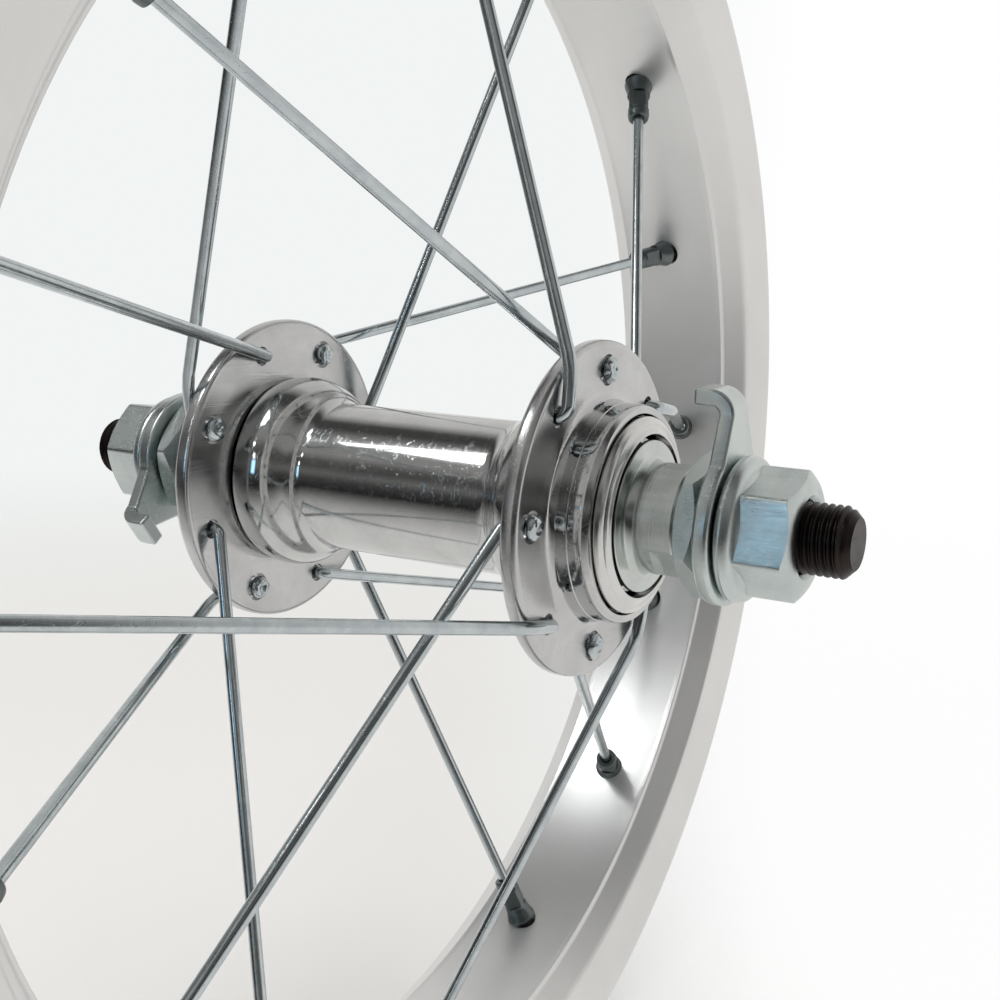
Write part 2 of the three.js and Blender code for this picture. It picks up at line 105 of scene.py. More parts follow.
def around(radius, angle, y=0.0):
    turn = math.radians(angle)
    return Vector((-radius * math.sin(turn), y, radius * math.cos(turn)))


def eased(outline, steps=4):
    """The (radius, y, easing) corners of a closed outline, each rounded over its own easing."""
    points = []
    for i, (radius, y, easing) in enumerate(outline):
        corner = Vector((radius, y))
        if not easing:
            points.append(corner)
            continue
        before = Vector(outline[i - 1][:2]) - corner
        after = Vector(outline[(i + 1) % len(outline)][:2]) - corner
        start = corner + before.normalized() * min(easing, before.length * EASING_LIMIT)
        end = corner + after.normalized() * min(easing, after.length * EASING_LIMIT)
        for step in range(steps + 1):
            t = step / steps
            points.append(start * (1 - t) ** 2 + corner * 2 * t * (1 - t) + end * t * t)
    return points


def arc(radius0, y0, size, first, last, steps=10):
    """Points of a circle's arc in the plane of an outline."""
    angles = [math.radians(first + (last - first) * step / steps) for step in range(steps + 1)]
    return [(radius0 + size * math.cos(angle), y0 + size * math.sin(angle)) for angle in angles]


def turned(outline, steps=96):
    """The closed shape that an outline sweeps in one turn about the axle."""
    bm = bmesh.new()
    verts = [bm.verts.new((radius, y, 0)) for radius, y in outline]
    edges = [bm.edges.new((verts[i - 1], verts[i])) for i in range(len(verts))]
    bmesh.ops.spin(bm, geom=verts + edges, cent=(0, 0, 0), axis=(0, 1, 0), angle=math.tau,
                   steps=steps, use_merge=True)
    bmesh.ops.remove_doubles(bm, verts=bm.verts, dist=MERGE_DISTANCE)
    bmesh.ops.recalc_face_normals(bm, faces=bm.faces)
    return bm


def mirrored(half):
    """Closes the half of an outline above the middle plane with its mirror image."""
    return half + [(radius, -y, easing) for radius, y, easing in reversed(half) if y > 0]


test_ring = turned(eased([(5, 0, 1), (8, 0, 1), (8, 3, 1), (5, 3, 1)]), 24)
print("a test ring has", len(test_ring.faces), "faces")
test_ring.free()

# %% [markdown]
# ## Cutting and joining
# Holes, hollows and spanner flats are cut. Blender's Boolean modifier does that well on closed shapes with
# its exact solver, so `carve` makes two short-lived objects, reads the result back as a bmesh, and tidies up.


# %% Boolean helper
def as_object(bm, name):
    """Turns a bmesh into an object of the scene, and frees it."""
    mesh = bpy.data.meshes.new(name)
    bm.to_mesh(mesh)
    bm.free()
    obj = bpy.data.objects.new(name, mesh)
    bpy.context.scene.collection.objects.link(obj)
    return obj


def carve(bm, tool, operation="DIFFERENCE"):
    """Cuts a closed shape with another one, or joins or overlaps the two."""
    body = as_object(bm, "carved")
    cutter = as_object(tool, "cutter")
    modifier = body.modifiers.new("carve", "BOOLEAN")
    modifier.operation = operation
    modifier.solver = "EXACT"
    modifier.object = cutter
    result = bmesh.new()
    result.from_object(body, bpy.context.evaluated_depsgraph_get())
    for obj in (body, cutter):
        mesh = obj.data
        bpy.data.objects.remove(obj)
        bpy.data.meshes.remove(mesh)
    bmesh.ops.remove_doubles(result, verts=result.verts, dist=MERGE_DISTANCE)
    return result


def gathered(shapes):
    """Several bmeshes as one."""
    whole = bmesh.new()
    for shape in shapes:
        mesh = bpy.data.meshes.new("gathered")
        shape.to_mesh(mesh)
        shape.free()
        whole.from_mesh(mesh)
        bpy.data.meshes.remove(mesh)
    return whole


def drill(at, along, radius, length, sides=24):
    """A round cutter centred on a point."""
    bm = bmesh.new()
    place = Matrix.Translation(at) @ along.to_track_quat("Z", "Y").to_matrix().to_4x4()
    bmesh.ops.create_cone(bm, cap_ends=True, segments=sides, radius1=radius, radius2=radius,
                          depth=length, matrix=place)
    return bm


def block(size, middle):
    """A box-shaped cutter centred on a point."""
    bm = bmesh.new()
    bmesh.ops.create_cube(bm, size=1)
    bmesh.ops.scale(bm, vec=size, verts=bm.verts)
    bmesh.ops.translate(bm, vec=middle, verts=bm.verts)
    return bm


# %% [markdown]
# ## From a shape to a piece
# A finished piece keeps its origin at the wheel's centre, so a pattern measured from that origin sits right
# on every piece. Flats stay flat in the shading because the Weighted Normal modifier leans each corner's
# normal towards its largest face. The piece then rides on its body and stands in for its node of the frame.


# %% Piece helper
SHARP_ANGLE = math.radians(38)
BODY_OF = {node: body for body, nodes in frame["record"]["behaviour"]["bodies"].items() for node in nodes}
made_pieces = []


def into_piece(bm, node, material):
    bmesh.ops.scale(bm, vec=(MM, MM, MM), verts=bm.verts)
    piece = as_object(bm, node + "_fine")
    piece.data.materials.append(material)
    piece.data.shade_smooth()
    piece.data.set_sharp_from_angle(angle=SHARP_ANGLE)
    weighted = piece.modifiers.new("even shading", "WEIGHTED_NORMAL")
    weighted.keep_sharp = True
    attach(piece, BODY_OF[node])
    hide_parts(node)
    made_pieces.append(piece)
    return piece


def rolled(bm, angle):
    """Turns a shape about the axle's line."""
    bmesh.ops.rotate(bm, verts=bm.verts, matrix=Matrix.Rotation(-math.radians(angle), 3, "Y"))
    return bm


def at_end(bm, end, angle=0.0):
    """Turns a shape drawn for the left end over to its own end, then about the axle by an angle."""
    if ENDS[end] < 0:
        bmesh.ops.rotate(bm, verts=bm.verts, matrix=Matrix.Rotation(math.pi, 3, "X"))
    return rolled(bm, angle)


# %% [markdown]
# ## Finishes: what the groups do
# Every surface here is bare or plated metal, and what tells them apart is small: lines left by a lathe or a
# die, soft clouds where the plating dulls, pits, and hair scratches. Each is a shader node group, built once
# and given its own values in each material. The coordinates are a group too: millimetres, and the radius and
# angle round the axle, because turned marks run round it.


# %% Node helpers
def put(tree, kind, inputs=None, **settings):
    """Adds a node. An input is a value, or the output socket that feeds it."""
    node = tree.nodes.new("ShaderNode" + kind)
    for name, value in settings.items():
        setattr(node, name, value)
    for name, value in (inputs or {}).items():
        if isinstance(value, bpy.types.NodeSocket):
            tree.links.new(value, node.inputs[name])
        else:
            node.inputs[name].default_value = value
    return node


def maths(tree, operation, first, second=0.0):
    return put(tree, "Math", {0: first, 1: second}, operation=operation).outputs[0]


def times(tree, first, second):
    return maths(tree, "MULTIPLY", first, second)


def new_group(name, inputs, outputs):
    group = bpy.data.node_groups.new(name, "ShaderNodeTree")
    for label, value in inputs.items():
        kind = "NodeSocketVector" if value is None else "NodeSocketFloat"
        socket = group.interface.new_socket(label, in_out="INPUT", socket_type=kind)
        if value is not None:
            socket.default_value = value
    for label, kind in outputs.items():
        group.interface.new_socket(label, in_out="OUTPUT", socket_type="NodeSocket" + kind)
    return group, group.nodes.new("NodeGroupInput").outputs, group.nodes.new("NodeGroupOutput").inputs


def use(tree, group, inputs=None):
    return put(tree, "Group", inputs, node_tree=group).outputs


def new_material(name):
    material = bpy.data.materials.new(name)
    material.use_nodes = True
    return material, material.node_tree, material.node_tree.nodes["Principled BSDF"]


# %% Group: where a point is, in millimetres and round the axle
def build_places():
    group, _, out = new_group("wheel places", {}, {"Point": "Vector", "Round": "Vector", "Radius": "Float"})
    own = put(group, "TexCoord").outputs["Object"]
    point = put(group, "VectorMath", {0: own, "Scale": 1 / MM}, operation="SCALE").outputs[0]
    axes = put(group, "SeparateXYZ", {0: point}).outputs
    squares = maths(group, "ADD", times(group, axes["X"], axes["X"]),
                    times(group, axes["Z"], axes["Z"]))
    radius = maths(group, "SQRT", squares)
    angle = maths(group, "ARCTAN2", axes["X"], axes["Z"])
    polar = put(group, "CombineXYZ", {"X": radius, "Y": axes["Y"], "Z": angle}).outputs[0]
    group.links.new(point, out["Point"])
    group.links.new(polar, out["Round"])
    group.links.new(radius, out["Radius"])
    return group


PLACES = build_places()


# %% Group: fine lines along one direction
def build_lines():
    """Noise squeezed across the lines and stretched along them, as a lathe or a die leaves them."""
    group, given, out = new_group("fine lines", {"Place": None, "Squeeze": None}, {"Lines": "Float"})
    stretched = put(group, "VectorMath", {0: given["Place"], 1: given["Squeeze"]},
                    operation="MULTIPLY").outputs[0]
    grain = put(group, "TexNoise", {"Vector": stretched, "Scale": 1.0, "Detail": 3.0, "Roughness": 0.6})
    group.links.new(grain.outputs[0], out["Lines"])
    return group


LINES = build_lines()


# %% Group: clouds, pits and scratches
SCRATCH_TILTS = (0.5, 2.1)
SCRATCH_LEVEL = 0.62
SCRATCH_HALF_WIDTH = 0.012


def build_clouds():
    group, given, out = new_group("clouds", {"Place": None, "Scale": 0.1}, {"Cloud": "Float"})
    big = put(group, "TexNoise", {"Vector": given["Place"], "Scale": given["Scale"], "Detail": 5.0,
                                  "Roughness": 0.55, "Distortion": 0.4})
    level = put(group, "MapRange", {"Value": big.outputs[0], "From Min": 0.32, "From Max": 0.68})
    group.links.new(level.outputs[0], out["Cloud"])
    return group


def build_pits():
    """Small round specks, thick in some places and missing in others."""
    group, given, out = new_group("pits", {"Place": None, "Scale": 1.0, "Amount": 0.5}, {"Pit": "Float"})
    cells = put(group, "TexVoronoi", {"Vector": given["Place"], "Scale": given["Scale"], "Randomness": 1.0})
    patch = put(group, "TexNoise", {"Vector": given["Place"], "Scale": 0.35, "Detail": 2.0}).outputs[0]
    size = times(group, times(group, patch, patch), given["Amount"])
    inside = put(group, "MapRange", {"Value": cells.outputs["Distance"], "From Min": size,
                                     "From Max": times(group, size, 0.4)})
    group.links.new(inside.outputs[0], out["Pit"])
    return group


def build_scratches():
    """Hair scratches: two thin-banded noises, crossed at an angle."""
    group, given, out = new_group("scratches", {"Place": None, "Scale": 1.0}, {"Scratch": "Float"})
    marks = []
    for tilt in SCRATCH_TILTS:
        turn = put(group, "Mapping", {"Vector": given["Place"], "Rotation": (tilt, 0.4 * tilt, tilt),
                                      "Scale": (0.08, 1.4, 1.4)}).outputs[0]
        grain = put(group, "TexNoise", {"Vector": turn, "Scale": given["Scale"], "Detail": 1.0}).outputs[0]
        off = maths(group, "ABSOLUTE", maths(group, "SUBTRACT", grain, SCRATCH_LEVEL))
        mark = put(group, "MapRange", {"Value": off, "From Min": SCRATCH_HALF_WIDTH, "From Max": 0.0})
        marks.append(mark.outputs[0])
    group.links.new(maths(group, "MAXIMUM", *marks), out["Scratch"])
    return group


CLOUDS = build_clouds()
PITS = build_pits()
SCRATCHES = build_scratches()
print("node groups:", [group.name for group in bpy.data.node_groups])

# %% [markdown]
# ## Finishes: one recipe for metal
# All the metals share one recipe. Two tones are mixed by the clouds, specks mark them, and lines, pits and
# scratches lift the surface through a Bump node and roughen it a little. What differs is how strong each part
# is, and which way the lines run, so `metal` takes those as its values.


# %% The metal recipe
CLOUD_IN_TONE = 0.75
CLOUD_IN_ROUGHNESS = 0.6
MARK_ROUGHNESS = 0.15
MARK_DEPTH = 0.35
BUMP_HEIGHT = 0.05
SATIN_ROUGHNESS = 0.13
SATIN_FADE = 2.0


def weighed(tree, cloud, lines, cloud_share):
    return maths(tree, "ADD", times(tree, cloud, cloud_share),
                 times(tree, lines, 1 - cloud_share))


def metal(name, tones, roughness, squeeze, line_depth, pit_scale=1.2, pit_amount=0.25,
          cloud_scale=0.12, scratch=0.5, round_lines=True, pit_tone=0.35, satin_beyond=None, metallic=1.0):
    material, tree, shader = new_material(name)
    places = use(tree, PLACES)
    line_place = places["Round"] if round_lines else places["Point"]
    lines = use(tree, LINES, {"Place": line_place, "Squeeze": squeeze})["Lines"]
    cloud = use(tree, CLOUDS, {"Place": places["Point"], "Scale": cloud_scale})["Cloud"]
    pit = use(tree, PITS, {"Place": places["Point"], "Scale": pit_scale, "Amount": pit_amount})["Pit"]
    hair = use(tree, SCRATCHES, {"Place": places["Point"], "Scale": 0.6})["Scratch"]
    marks = maths(tree, "MAXIMUM", pit, times(tree, hair, scratch))

    blend = weighed(tree, cloud, lines, CLOUD_IN_TONE)
    toned = put(tree, "Mix", {0: blend, 6: (*tones[0], 1), 7: (*tones[1], 1)}, data_type="RGBA")
    speck = tuple(pit_tone * channel for channel in tones[1])
    marked = put(tree, "Mix", {0: pit, 6: toned.outputs[2], 7: (*speck, 1)}, data_type="RGBA")
    tree.links.new(marked.outputs[2], shader.inputs["Base Color"])

    dull = weighed(tree, cloud, lines, CLOUD_IN_ROUGHNESS)
    rough = put(tree, "MapRange", {"Value": dull, "To Min": roughness[0], "To Max": roughness[1]}).outputs[0]
    rough = maths(tree, "ADD", rough, times(tree, marks, MARK_ROUGHNESS))
    if satin_beyond:
        satin = put(tree, "MapRange", {"Value": places["Radius"], "From Min": satin_beyond,
                                       "From Max": satin_beyond + SATIN_FADE, "To Max": SATIN_ROUGHNESS})
        rough = maths(tree, "ADD", rough, satin.outputs[0])
    tree.links.new(rough, shader.inputs["Roughness"])

    relief = times(tree, lines, line_depth)
    relief = maths(tree, "SUBTRACT", relief, times(tree, marks, MARK_DEPTH))
    bump = put(tree, "Bump", {"Height": relief, "Distance": BUMP_HEIGHT * MM, "Strength": 1.0})
    tree.links.new(bump.outputs[0], shader.inputs["Normal"])
    shader.inputs["Metallic"].default_value = metallic
    return material


# %% [markdown]
# ## The finishes of this wheel
# The rim is satin alloy, with faint lines round it. The hub is brightly plated steel, and duller on the
# flanges' plates than on their drums. Dust caps and cones keep lathe marks that run round them. Nuts and
# washers are zinc plated, a little green-blue, with long lines along the axle. Spokes are zinc plated wire
# with small clouds, nipples are dark, and the axle is blacked. A tone pair is the light and the dull one.

# %% Making the finishes
RIM_ALLOY = metal("rim alloy", ((0.86, 0.86, 0.85), (0.77, 0.77, 0.76)), (0.28, 0.38),
                  squeeze=(3.0, 3.0, 6.0), line_depth=0.2, cloud_scale=0.035, pit_scale=1.0, pit_amount=0.03,
                  scratch=0.2, metallic=0.72)
HUB_PLATE = metal("hub plate", ((0.66, 0.665, 0.66), (0.54, 0.545, 0.54)), (0.07, 0.14),
                  squeeze=(2.5, 2.5, 3.0), line_depth=0.06, pit_scale=4.0, pit_amount=0.35, scratch=0.2)
FLANGE_PLATE = metal("flange plate", ((0.66, 0.665, 0.665), (0.53, 0.53, 0.53)), (0.05, 0.12),
                     squeeze=(3.0, 2.5, 3.0), line_depth=0.10, pit_scale=3.0, pit_amount=0.4, scratch=0.3,
                     satin_beyond=15.2)
CAP_PLATE = metal("cap plate", ((0.76, 0.76, 0.75), (0.62, 0.62, 0.61)), (0.13, 0.26),
                  squeeze=(5.0, 5.0, 0.6), line_depth=0.35, pit_scale=3.0, pit_amount=0.3, scratch=0.2)
CONE_ZINC = metal("cone zinc", ((0.66, 0.69, 0.67), (0.50, 0.54, 0.52)), (0.13, 0.26),
                  squeeze=(5.0, 5.0, 0.6), line_depth=0.25, pit_scale=2.0, pit_amount=0.3, scratch=0.0)
ZINC = metal("zinc plate", ((0.68, 0.73, 0.72), (0.53, 0.59, 0.58)), (0.18, 0.32),
             squeeze=(9.0, 0.12, 9.0), line_depth=0.55, pit_scale=3.0, pit_amount=0.3, scratch=0.0,
             round_lines=False)
SPOKE_ZINC = metal("spoke zinc", ((0.64, 0.69, 0.71), (0.47, 0.52, 0.54)), (0.10, 0.20),
                   squeeze=(2.0, 2.0, 2.0), line_depth=0.06, pit_scale=3.5, pit_amount=0.3, round_lines=False,
                   cloud_scale=0.3, scratch=0.25)
NIPPLE_PLATE = metal("nipple plate", ((0.22, 0.25, 0.25), (0.12, 0.14, 0.14)), (0.28, 0.42),
                     squeeze=(3.0, 3.0, 3.0), line_depth=0.15, pit_scale=3.0, round_lines=False)
AXLE_BLACK = metal("axle black", ((0.045, 0.036, 0.034), (0.025, 0.021, 0.02)), (0.30, 0.48),
                   squeeze=(5.0, 5.0, 2.0), line_depth=0.2, pit_scale=3.0, pit_tone=3.0)
BALL_STEEL = metal("ball steel", ((0.72, 0.73, 0.74), (0.62, 0.62, 0.63)), (0.05, 0.12),
                   squeeze=(2.0, 2.0, 4.0), line_depth=0.05, pit_scale=3.0, pit_amount=0.1)
print("materials:", [material.name for material in bpy.data.materials])

# %% [markdown]
# ## The spokes' plan
# Eight spokes leave each flange. On a side every second spoke has its elbow outside the flange and leans one
# way; its neighbours have theirs inside and lean the other way, so each crosses one neighbour. The left
# side's holes lie midway between the right side's. Rim holes, flange holes and nipples need this plan too.

# %% Spoke plan
SPOKES_PER_SIDE = 8
SPOKE_STEP = 360 / SPOKES_PER_SIDE
HUB_WIND_UP = -2.0
BED_RADIUS = 90.4
NIPPLE_OFFSET = 1.0
HOLE_CIRCLE = 19.1
SPOKE_HOLE_RADIUS = 1.45
SPOKE_RADIUS = 0.9
BEND_REACH = 1.3
EDGE_CROSSING = 6.4
FLANGE_GAP = 0.15


def spoke_line(end, i):
    """Where one spoke starts, bends and ends."""
    side = ENDS[end]
    hole_angle = i * SPOKE_STEP + (SPOKE_STEP / 2 if side > 0 else 0)
    elbow_out = i % 2 == 1
    rim_angle = hole_angle + (-SPOKE_STEP if elbow_out else SPOKE_STEP)
    shank = Vector((0, side if elbow_out else -side, 0))
    rim_end = around(BED_RADIUS, rim_angle, side * NIPPLE_OFFSET)
    hole = around(HOLE_CIRCLE, hole_angle + HUB_WIND_UP, side * FLANGE_MIDDLE)
    corner = hole + shank * (FLANGE_THICKNESS / 2 + BEND_REACH)
    over = corner
    if elbow_out:
        level = (rim_end - hole) * Vector((1, 0, 1))
        over = hole + level.normalized() * EDGE_CROSSING
        over.y = side * (FLANGE_OUT + FLANGE_GAP + SPOKE_RADIUS)
    return {"name": f"{end}_{i + 1}", "end": end, "side": side, "shank": shank, "hole": hole,
            "corner": corner, "over": over, "elbow_out": elbow_out, "rim_end": rim_end,
            "rim_angle": rim_angle, "run": (rim_end - over).normalized()}


PLAN = [spoke_line(end, i) for end in ENDS for i in range(SPOKES_PER_SIDE)]
print(len(PLAN), "spokes; the first is", round((PLAN[0]["rim_end"] - PLAN[0]["over"]).length, 1), "mm long")

# %% [markdown]
# ## The rim
# The rim is a hollow extrusion rolled into a ring: a spoke bed with a raised line at each edge, sloped
# shoulders, two flat side walls, and a channel for the tyre. One outline shows the whole section at a glance.
# The hollow is a second ring, and the holes for the nipples, for the tool that turns them, and for the valve
# are drilled.

# %% Rim section
BEAD_SEAT = 101.5
RIM_STEPS = 192
BED_HALF_WIDTH = 8.8
VALVE_HOLE_ANGLE = 78.75
VALVE_HOLE_RADIUS = 4.2
VALVE_CUT_MIDDLE = 96
VALVE_CUT_LENGTH = 16
ACCESS_HOLE_RADIUS = 4.2
ACCESS_CUT_MIDDLE = 100
ACCESS_CUT_LENGTH = 7.6
NIPPLE_HOLE_RADIUS = 2.4
NIPPLE_CUT_LENGTH = 9


def rim_outline():
    width = RIM_HALF_WIDTH
    lip = width - 1.7
    return mirrored([
        (BEAD_SEAT - 1.8, 0, 0),
        (BEAD_SEAT - 1.6, 6, 1.2),
        (BEAD_SEAT, 8.8, 1.2),
        (BEAD_SEAT, lip, 0.8),
        (BEAD_SEAT + 4.2, lip, 0.8),
        (RIM_RADIUS - 1.2, width - 2.4, 0.5),
        (RIM_RADIUS, width - 2.2, 0.8),
        (RIM_RADIUS, width - 0.5, 0.7),
        (RIM_RADIUS - 1.6, width, 0.8),
        (BED_RADIUS + 4.2, width, 0.9),
        (BED_RADIUS + 3.5, width - 0.5, 0.5),
        (BED_RADIUS + 0.9, BED_HALF_WIDTH + 0.7, 0.35),
        (BED_RADIUS + 0.1, BED_HALF_WIDTH + 0.5, 0.25),
        (BED_RADIUS + 0.2, BED_HALF_WIDTH - 0.3, 0.35),
        (BED_RADIUS, 5, 3),
        (BED_RADIUS - 0.1, 0, 0),
    ])


def rim_hollow():
    wall = 1.8
    inside = RIM_HALF_WIDTH - wall
    return mirrored([
        (BEAD_SEAT - 3.4, 0, 0),
        (BEAD_SEAT - 3.2, 5.6, 1),
        (BEAD_SEAT - 2, 8.2, 1),
        (BEAD_SEAT - 2, inside, 0.8),
        (BED_RADIUS + 5, inside, 0.8),
        (BED_RADIUS + wall, 7, 1),
        (BED_RADIUS + wall, 0, 0),
    ])


# %% Rim piece
def rim():
    valve = around(VALVE_CUT_MIDDLE, VALVE_HOLE_ANGLE)
    drills = [drill(valve, around(1, VALVE_HOLE_ANGLE), VALVE_HOLE_RADIUS, VALVE_CUT_LENGTH, 32)]
    for line in PLAN:
        access = around(ACCESS_CUT_MIDDLE, line["rim_angle"], line["side"] * NIPPLE_OFFSET)
        outwards = around(1, line["rim_angle"])
        drills.append(drill(line["rim_end"], line["run"], NIPPLE_HOLE_RADIUS, NIPPLE_CUT_LENGTH))
        drills.append(drill(access, outwards, ACCESS_HOLE_RADIUS, ACCESS_CUT_LENGTH))
    hollow = turned(eased(rim_hollow(), 2), RIM_STEPS)
    bmesh.ops.reverse_faces(hollow, faces=hollow.faces)
    body = gathered([turned(eased(rim_outline()), RIM_STEPS), hollow])
    return into_piece(carve(body, gathered(drills)), "rim", RIM_ALLOY)


print("rim:", len(rim().data.polygons), "faces")

# %% [markdown]
# ## The hub shell
# The shell is a thin tube drawn out at both ends into bells that stand against the flanges. Each bell is two
# arcs that touch: a small hollow one leads from the tube to a big round shoulder. The same two arcs, one
# wall's thickness in, make the inside.

# %% Hub shell piece
SHELL_RADIUS = 11.0
SHELL_WALL = 1.3
BELL_RADIUS = 14.5
BELL_SHOULDER = 7.0
BELL_HOLLOW = 3.5
SHOULDER_TO_MOUTH = 2.8
SHOULDER_END_ANGLE = 20
MOUTH_CLOSING = 0.7
MOUTH_GAP = 0.2


def bell(inwards):
    """The shell's outline from its plain tube to its mouth, moved in by a wall's thickness or by nothing."""
    mouth = FLANGE_IN - MOUTH_GAP
    shoulder_radius = BELL_RADIUS - BELL_SHOULDER
    shoulder_y = mouth - SHOULDER_TO_MOUTH
    hollow_radius = SHELL_RADIUS + BELL_HOLLOW
    reach = BELL_SHOULDER + BELL_HOLLOW
    lean = math.acos((hollow_radius - shoulder_radius) / reach)
    hollow_y = shoulder_y - reach * math.sin(lean)
    lean = math.degrees(lean)
    hollow = arc(hollow_radius, hollow_y, BELL_HOLLOW + inwards, 180, 180 - lean, 8)
    shoulder = arc(shoulder_radius, shoulder_y, BELL_SHOULDER - inwards, -lean, SHOULDER_END_ANGLE, 20)
    return hollow + shoulder[1:] + [(shoulder[-1][0] - MOUTH_CLOSING, mouth)]


def hub_shell():
    inside = bell(SHELL_WALL)
    outline = bell(0) + inside[::-1]
    below = [(radius, -y) for radius, y in reversed(outline)]
    whole = below[len(inside):] + outline + below[:len(inside)]
    return into_piece(turned(whole, 128), "hub_shell", HUB_PLATE)


print("hub shell:", len(hub_shell().data.polygons), "faces")

# %% [markdown]
# ## Flanges and bearing housings
# Each flange is a pressing: a plate with eight spoke holes, and a drum in its middle for the bearing. A small
# radius runs from plate to drum, and the drum's outer corner is well rounded. Each spoke hole has a shallow
# seat that a spoke's head pulls into.

# %% Flange pieces
HOUSING_RADIUS = 15.0
HOUSING_BORE = 13.6
FLANGE_BORE = 9.8
SPIGOT_LENGTH = 1.1
SPOKE_CUT_LENGTH = 8
HEAD_SEAT_RADIUS = 2.15
HEAD_SEAT_DEPTH = 0.8
SEAT_CUT_LENGTH = 2


def flange_outline():
    spigot = HOUSING_BORE - 1.8
    floor = FLANGE_IN + 1.3
    return [
        (FLANGE_BORE, FLANGE_IN - SPIGOT_LENGTH, 0.2),
        (spigot, FLANGE_IN - SPIGOT_LENGTH, 0.2),
        (spigot, FLANGE_IN, 0),
        (FLANGE_RADIUS, FLANGE_IN, 0.9),
        (FLANGE_RADIUS, FLANGE_OUT, 0.9),
        (HOUSING_RADIUS, FLANGE_OUT, 1.7),
        (HOUSING_RADIUS, FLANGE_OUT + 2.7, 0.12),
        (HOUSING_RADIUS - 0.1, FLANGE_OUT + 2.8, 0),
        (HOUSING_RADIUS - 0.1, HOUSING_END, 1.8),
        (HOUSING_BORE, HOUSING_END - 0.1, 0.25),
        (HOUSING_BORE, floor, 0.3),
        (FLANGE_BORE, floor, 0.2),
    ]


def hub_flange(end):
    cutters = []
    for line in PLAN:
        if line["end"] == end:
            hole, shank = line["hole"], line["shank"]
            seat = hole - shank * (FLANGE_THICKNESS / 2 + SEAT_CUT_LENGTH / 2 - HEAD_SEAT_DEPTH)
            cutters.append(drill(hole, shank, SPOKE_HOLE_RADIUS, SPOKE_CUT_LENGTH))
            cutters.append(drill(seat, shank, HEAD_SEAT_RADIUS, SEAT_CUT_LENGTH))
    body = at_end(turned(eased(flange_outline()), 128), end)
    for group in (cutters[0::2], cutters[1::2]):
        body = carve(body, gathered(group))
    return into_piece(body, f"hub_flange_{end}", FLANGE_PLATE)


for end in ENDS:
    print(f"{end} flange:", len(hub_flange(end).data.polygons), "faces")

# %% [markdown]
# ## Bearings
# Inside each drum sits a hardened cup. Nine balls run between the cup and the cone, kept apart by a pressed
# cage. A dust cap with a rolled lip closes the drum, and leaves a thin dark gap round the cone's shield.

# %% Bearing pieces
BALL_COUNT = 9
BALL_RADIUS = 2.38
BALL_CIRCLE = 8.6
BALL_PLANE = 31.2
RACE_RADIUS = BALL_RADIUS + 0.3
CUP_END = 33.4
CAGE_INNER = 9.4
CAGE_OUTER = 10.6
CAGE_START = BALL_PLANE + 1.4
CAGE_END = BALL_PLANE + 2.2
CAP_RADIUS = HOUSING_BORE - 0.25
SHIELD_RADIUS = 10.3
SHIELD_START = 34.9
SHIELD_END = 35.6


def bearing_cup(end):
    floor = FLANGE_IN + 1.6
    lip = BALL_CIRCLE - 0.4
    race_mouth = BALL_CIRCLE + RACE_RADIUS + 0.2
    outline = [(lip, floor), (CAP_RADIUS, floor), (CAP_RADIUS, CUP_END), (race_mouth, CUP_END)]
    outline += arc(BALL_CIRCLE, BALL_PLANE, RACE_RADIUS, 0, -90) + [(lip, BALL_PLANE - RACE_RADIUS)]
    return into_piece(at_end(turned(outline, 64), end), f"bearing_cup_{end}", BALL_STEEL)


def dust_cap(end):
    inner = SHIELD_RADIUS + 0.75
    outline = eased([
        (inner, 33.9, 0.2),
        (CAP_RADIUS, 33.7, 0.2),
        (CAP_RADIUS, 34.5, 0.35),
        (CAP_RADIUS - 0.9, 35.15, 0.35),
        (CAP_RADIUS - 1.15, 34.95, 0.12),
        (inner + 0.55, 35.25, 0.2),
        (inner + 0.2, 35.55, 0.15),
        (inner, 35.5, 0.15),
    ])
    return into_piece(at_end(turned(outline), end), f"dust_cap_{end}", CAP_PLATE)


def ball_set(end):
    cage = turned(eased([
        (CAGE_INNER, CAGE_START, 0.2),
        (CAGE_OUTER, CAGE_START, 0.2),
        (CAGE_OUTER, CAGE_END, 0.2),
        (CAGE_INNER, CAGE_END, 0.2),
    ]), 64)
    balls = []
    for i in range(BALL_COUNT):
        ball = bmesh.new()
        at = around(BALL_CIRCLE, i * 360 / BALL_COUNT, BALL_PLANE)
        bmesh.ops.create_uvsphere(ball, u_segments=24, v_segments=16, radius=BALL_RADIUS,
                                  matrix=Matrix.Translation(at))
        balls.append(ball)
    body = carve(cage, gathered(balls), "UNION")
    return into_piece(at_end(body, end), f"ball_set_{end}", BALL_STEEL)


for end in ENDS:
    made = [bearing_cup(end), dust_cap(end), ball_set(end)]
    print(f"{end} bearing:", [len(piece.data.polygons) for piece in made], "faces")

# %% [markdown]
# ## The axle
# The axle is a steel bar with a thread rolled along it. A real thread is a ridge that climbs as it goes
# round, and that is what a spin with a step along its axis draws from one tooth's outline. One such turn is
# copied end to end. The ends are cut square and filled, and chamfered by holding each corner in a cone.

# %% Axle piece
THREAD_PITCH = 1.0
THREAD_DEPTH = 0.42
THREAD_STEPS = 32
THREAD_SPARE = 2.5
THREAD_MERGE_DISTANCE = 1e-3
AXLE_CHAMFER = 1.3


def verts_in(parts):
    return [part for part in parts if isinstance(part, bmesh.types.BMVert)]


def edges_in(parts):
    return [part for part in parts if isinstance(part, bmesh.types.BMEdge)]


